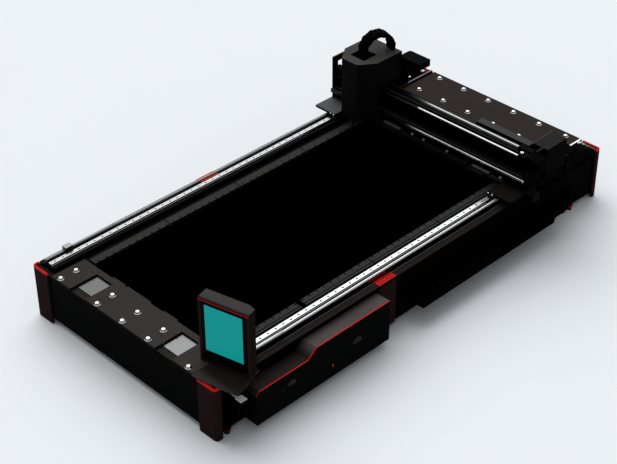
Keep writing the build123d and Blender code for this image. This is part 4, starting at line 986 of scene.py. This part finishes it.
# Pressed and moulded small pieces
def shape_piece(name, shape, metal):
    """A piece with one finish from an edited mesh, which is used up."""
    bmesh.ops.recalc_face_normals(shape, faces=shape.faces)
    piece = mesh_piece(name, [], [])
    shape.to_mesh(piece.data)
    shape.free()
    piece.data.materials.append(metal)
    return piece


def pressed(name, body, metal, rim, parts):
    """Outlines drawn along an axis between two values in millimetres, with drawn-in rims at both ends."""
    shape = bmesh.new()
    for outline, along, start, end in parts:
        middle = np.mean(outline, axis=0)
        layers = []
        for value, inset in ((start, rim), (start + rim, 0), (end - rim, 0), (end, rim)):
            layer = []
            for first, second in outline:
                first -= math.copysign(min(inset, abs(first - middle[0])), first - middle[0])
                second -= math.copysign(min(inset, abs(second - middle[1])), second - middle[1])
                spot = [first, second]
                spot.insert(along, value)
                layer.append(shape.verts.new(place(*spot)))
            layers.append(layer)
        count = len(outline)
        for low, high in zip(layers, layers[1:]):
            for index in range(count):
                after = (index + 1) % count
                shape.faces.new((low[index], low[after], high[after], high[index]))
        shape.faces.new(layers[0])
        shape.faces.new(layers[-1])
    piece = shape_piece(name, shape, metal)
    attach(piece, body)
    return piece


clip_outline = [(361, 186), (354, 186), (351, 189), (351, 195), (353, 197), (361, 197)]
pressed("rail_clips", "gantry", clip_grey, 0.6, [
    (clip_outline, axis_x, -143, -81), (clip_outline, axis_x, 180, 240)])
beam_places = [(place(x, 360, 195.5), forward) for x in (-40, 2, 87, 273)]
fasteners("beam_screws", "gantry", cap_head, beam_places, plated, size=0.95, seed=7)

fin_outline = [(680, 150), (699, 150), (699, 159), (696, 164), (690, 168), (682, 169), (680, 167)]
fin_parts = []
for side in (-1, 1):
    for x in (290, 304, 318, 331):
        fin_parts.append((fin_outline, axis_x, side * x - 5.4, side * x + 5.4))
pressed("motor_fins", "frame", fin_metal, 0.4, fin_parts)

stop_outline = [(234, 152), (259, 152), (259, 153), (246, 153.4), (241, 157), (236, 157), (234, 155)]
pressed("strip_stop", "frame", void_black, 0.4, [(stop_outline, axis_y, -364, -352)])
ledge_outline = [(-318.3, 160), (-312.2, 160), (-312.2, 160.7), (-312.6, 161), (-317.9, 161),
                 (-318.3, 160.7)]
edge_outline = [(-300.8, 164), (-297.2, 164), (-297.2, 165), (-300.8, 165)]
pressed("cap_ledges", "frame", red_line, 0.3, [
    (ledge_outline, axis_y, -181, -119), (edge_outline, axis_y, -181, -119)])

key_spot = place(378, -387, 58)
knob = fasteners("key_knob", "key", knob_head, [(key_spot, (1, 0, 0))], panel_black,
                 size=1.0, seed=3)
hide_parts("power_key")
rib_outline = [(-388.7, 54.0), (-388.2, 53.2), (-385.8, 53.2), (-385.3, 54.0), (-385.3, 62.0),
               (-385.8, 62.8), (-388.2, 62.8), (-388.7, 62.0)]
rib = pressed("key_rib", "key", key_red, 0.5, [(rib_outline, axis_x, 380.5, 385)])
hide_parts("power_key")

bearing_places = [(place(327, 372, 287), up)]
fasteners("bearing_screws", "gantry", cap_head, bearing_places, chrome, size=1.3, seed=5)
plate_places = [(place(x, 297, 180.4), forward) for x in (-296, -284, 285, 298)]
fasteners("carriage_screws", "gantry", cap_head, plate_places, chrome, size=0.8, seed=6)
motor_places = [(place(-318.6, 656.6, 178.2), (0, 0.5, 0.87)), (place(-299, 631, 162), (1, 0, 0))]
fasteners("motor_screws", "frame", cap_head, motor_places, chrome, size=2.2, seed=9)
deck_places = [(place(x, y, 158), up) for x, y in ((-205, -637), (128, -651), (131, -693))]
fasteners("deck_corner_screws", "frame", flush_head, deck_places, screw_black, size=0.8, seed=2)
hood_places = [(place(-219, 408, 380), up), (place(-185, 408, 380), up)]
fasteners("hood_screws", "head", flush_head, hood_places, screw_black, size=0.9, seed=8)


def port_hood(name, across, half_width, rise):
    """A half-round hood standing out of the panel above its opening."""
    panel_face = 380.6
    base = 79
    bulge = 3.0
    steps = 12
    shape = bmesh.new()
    rows = []
    for reach in (1.0, 0.93, 0.8, 0.6, 0.35, 0.1):
        row = []
        for step in range(steps + 1):
            angle = math.pi * step / steps
            out = panel_face + bulge * math.sqrt(1 - reach * reach)
            row.append(shape.verts.new(place(
                out, across + half_width * reach * math.cos(angle), base + rise * reach * math.sin(angle))))
        rows.append(row)
    for outer, inner in zip(rows, rows[1:]):
        for step in range(steps):
            shape.faces.new((outer[step], outer[step + 1], inner[step + 1], inner[step]))
    shape.faces.new(rows[-1])
    piece = shape_piece(name, shape, port_grey)
    if piece.data.polygons[0].normal.x < 0:
        piece.data.flip_normals()
    smooth(piece)
    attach(piece, "frame")


port_hood("socket_hood", -519, 14, 12)
port_hood("vent_hood", -300, 16, 13)

for template in (button_head, knob_head, cap_head, flush_head, rail_bore):
    bpy.data.objects.remove(template)

bpy.context.view_layer.update()
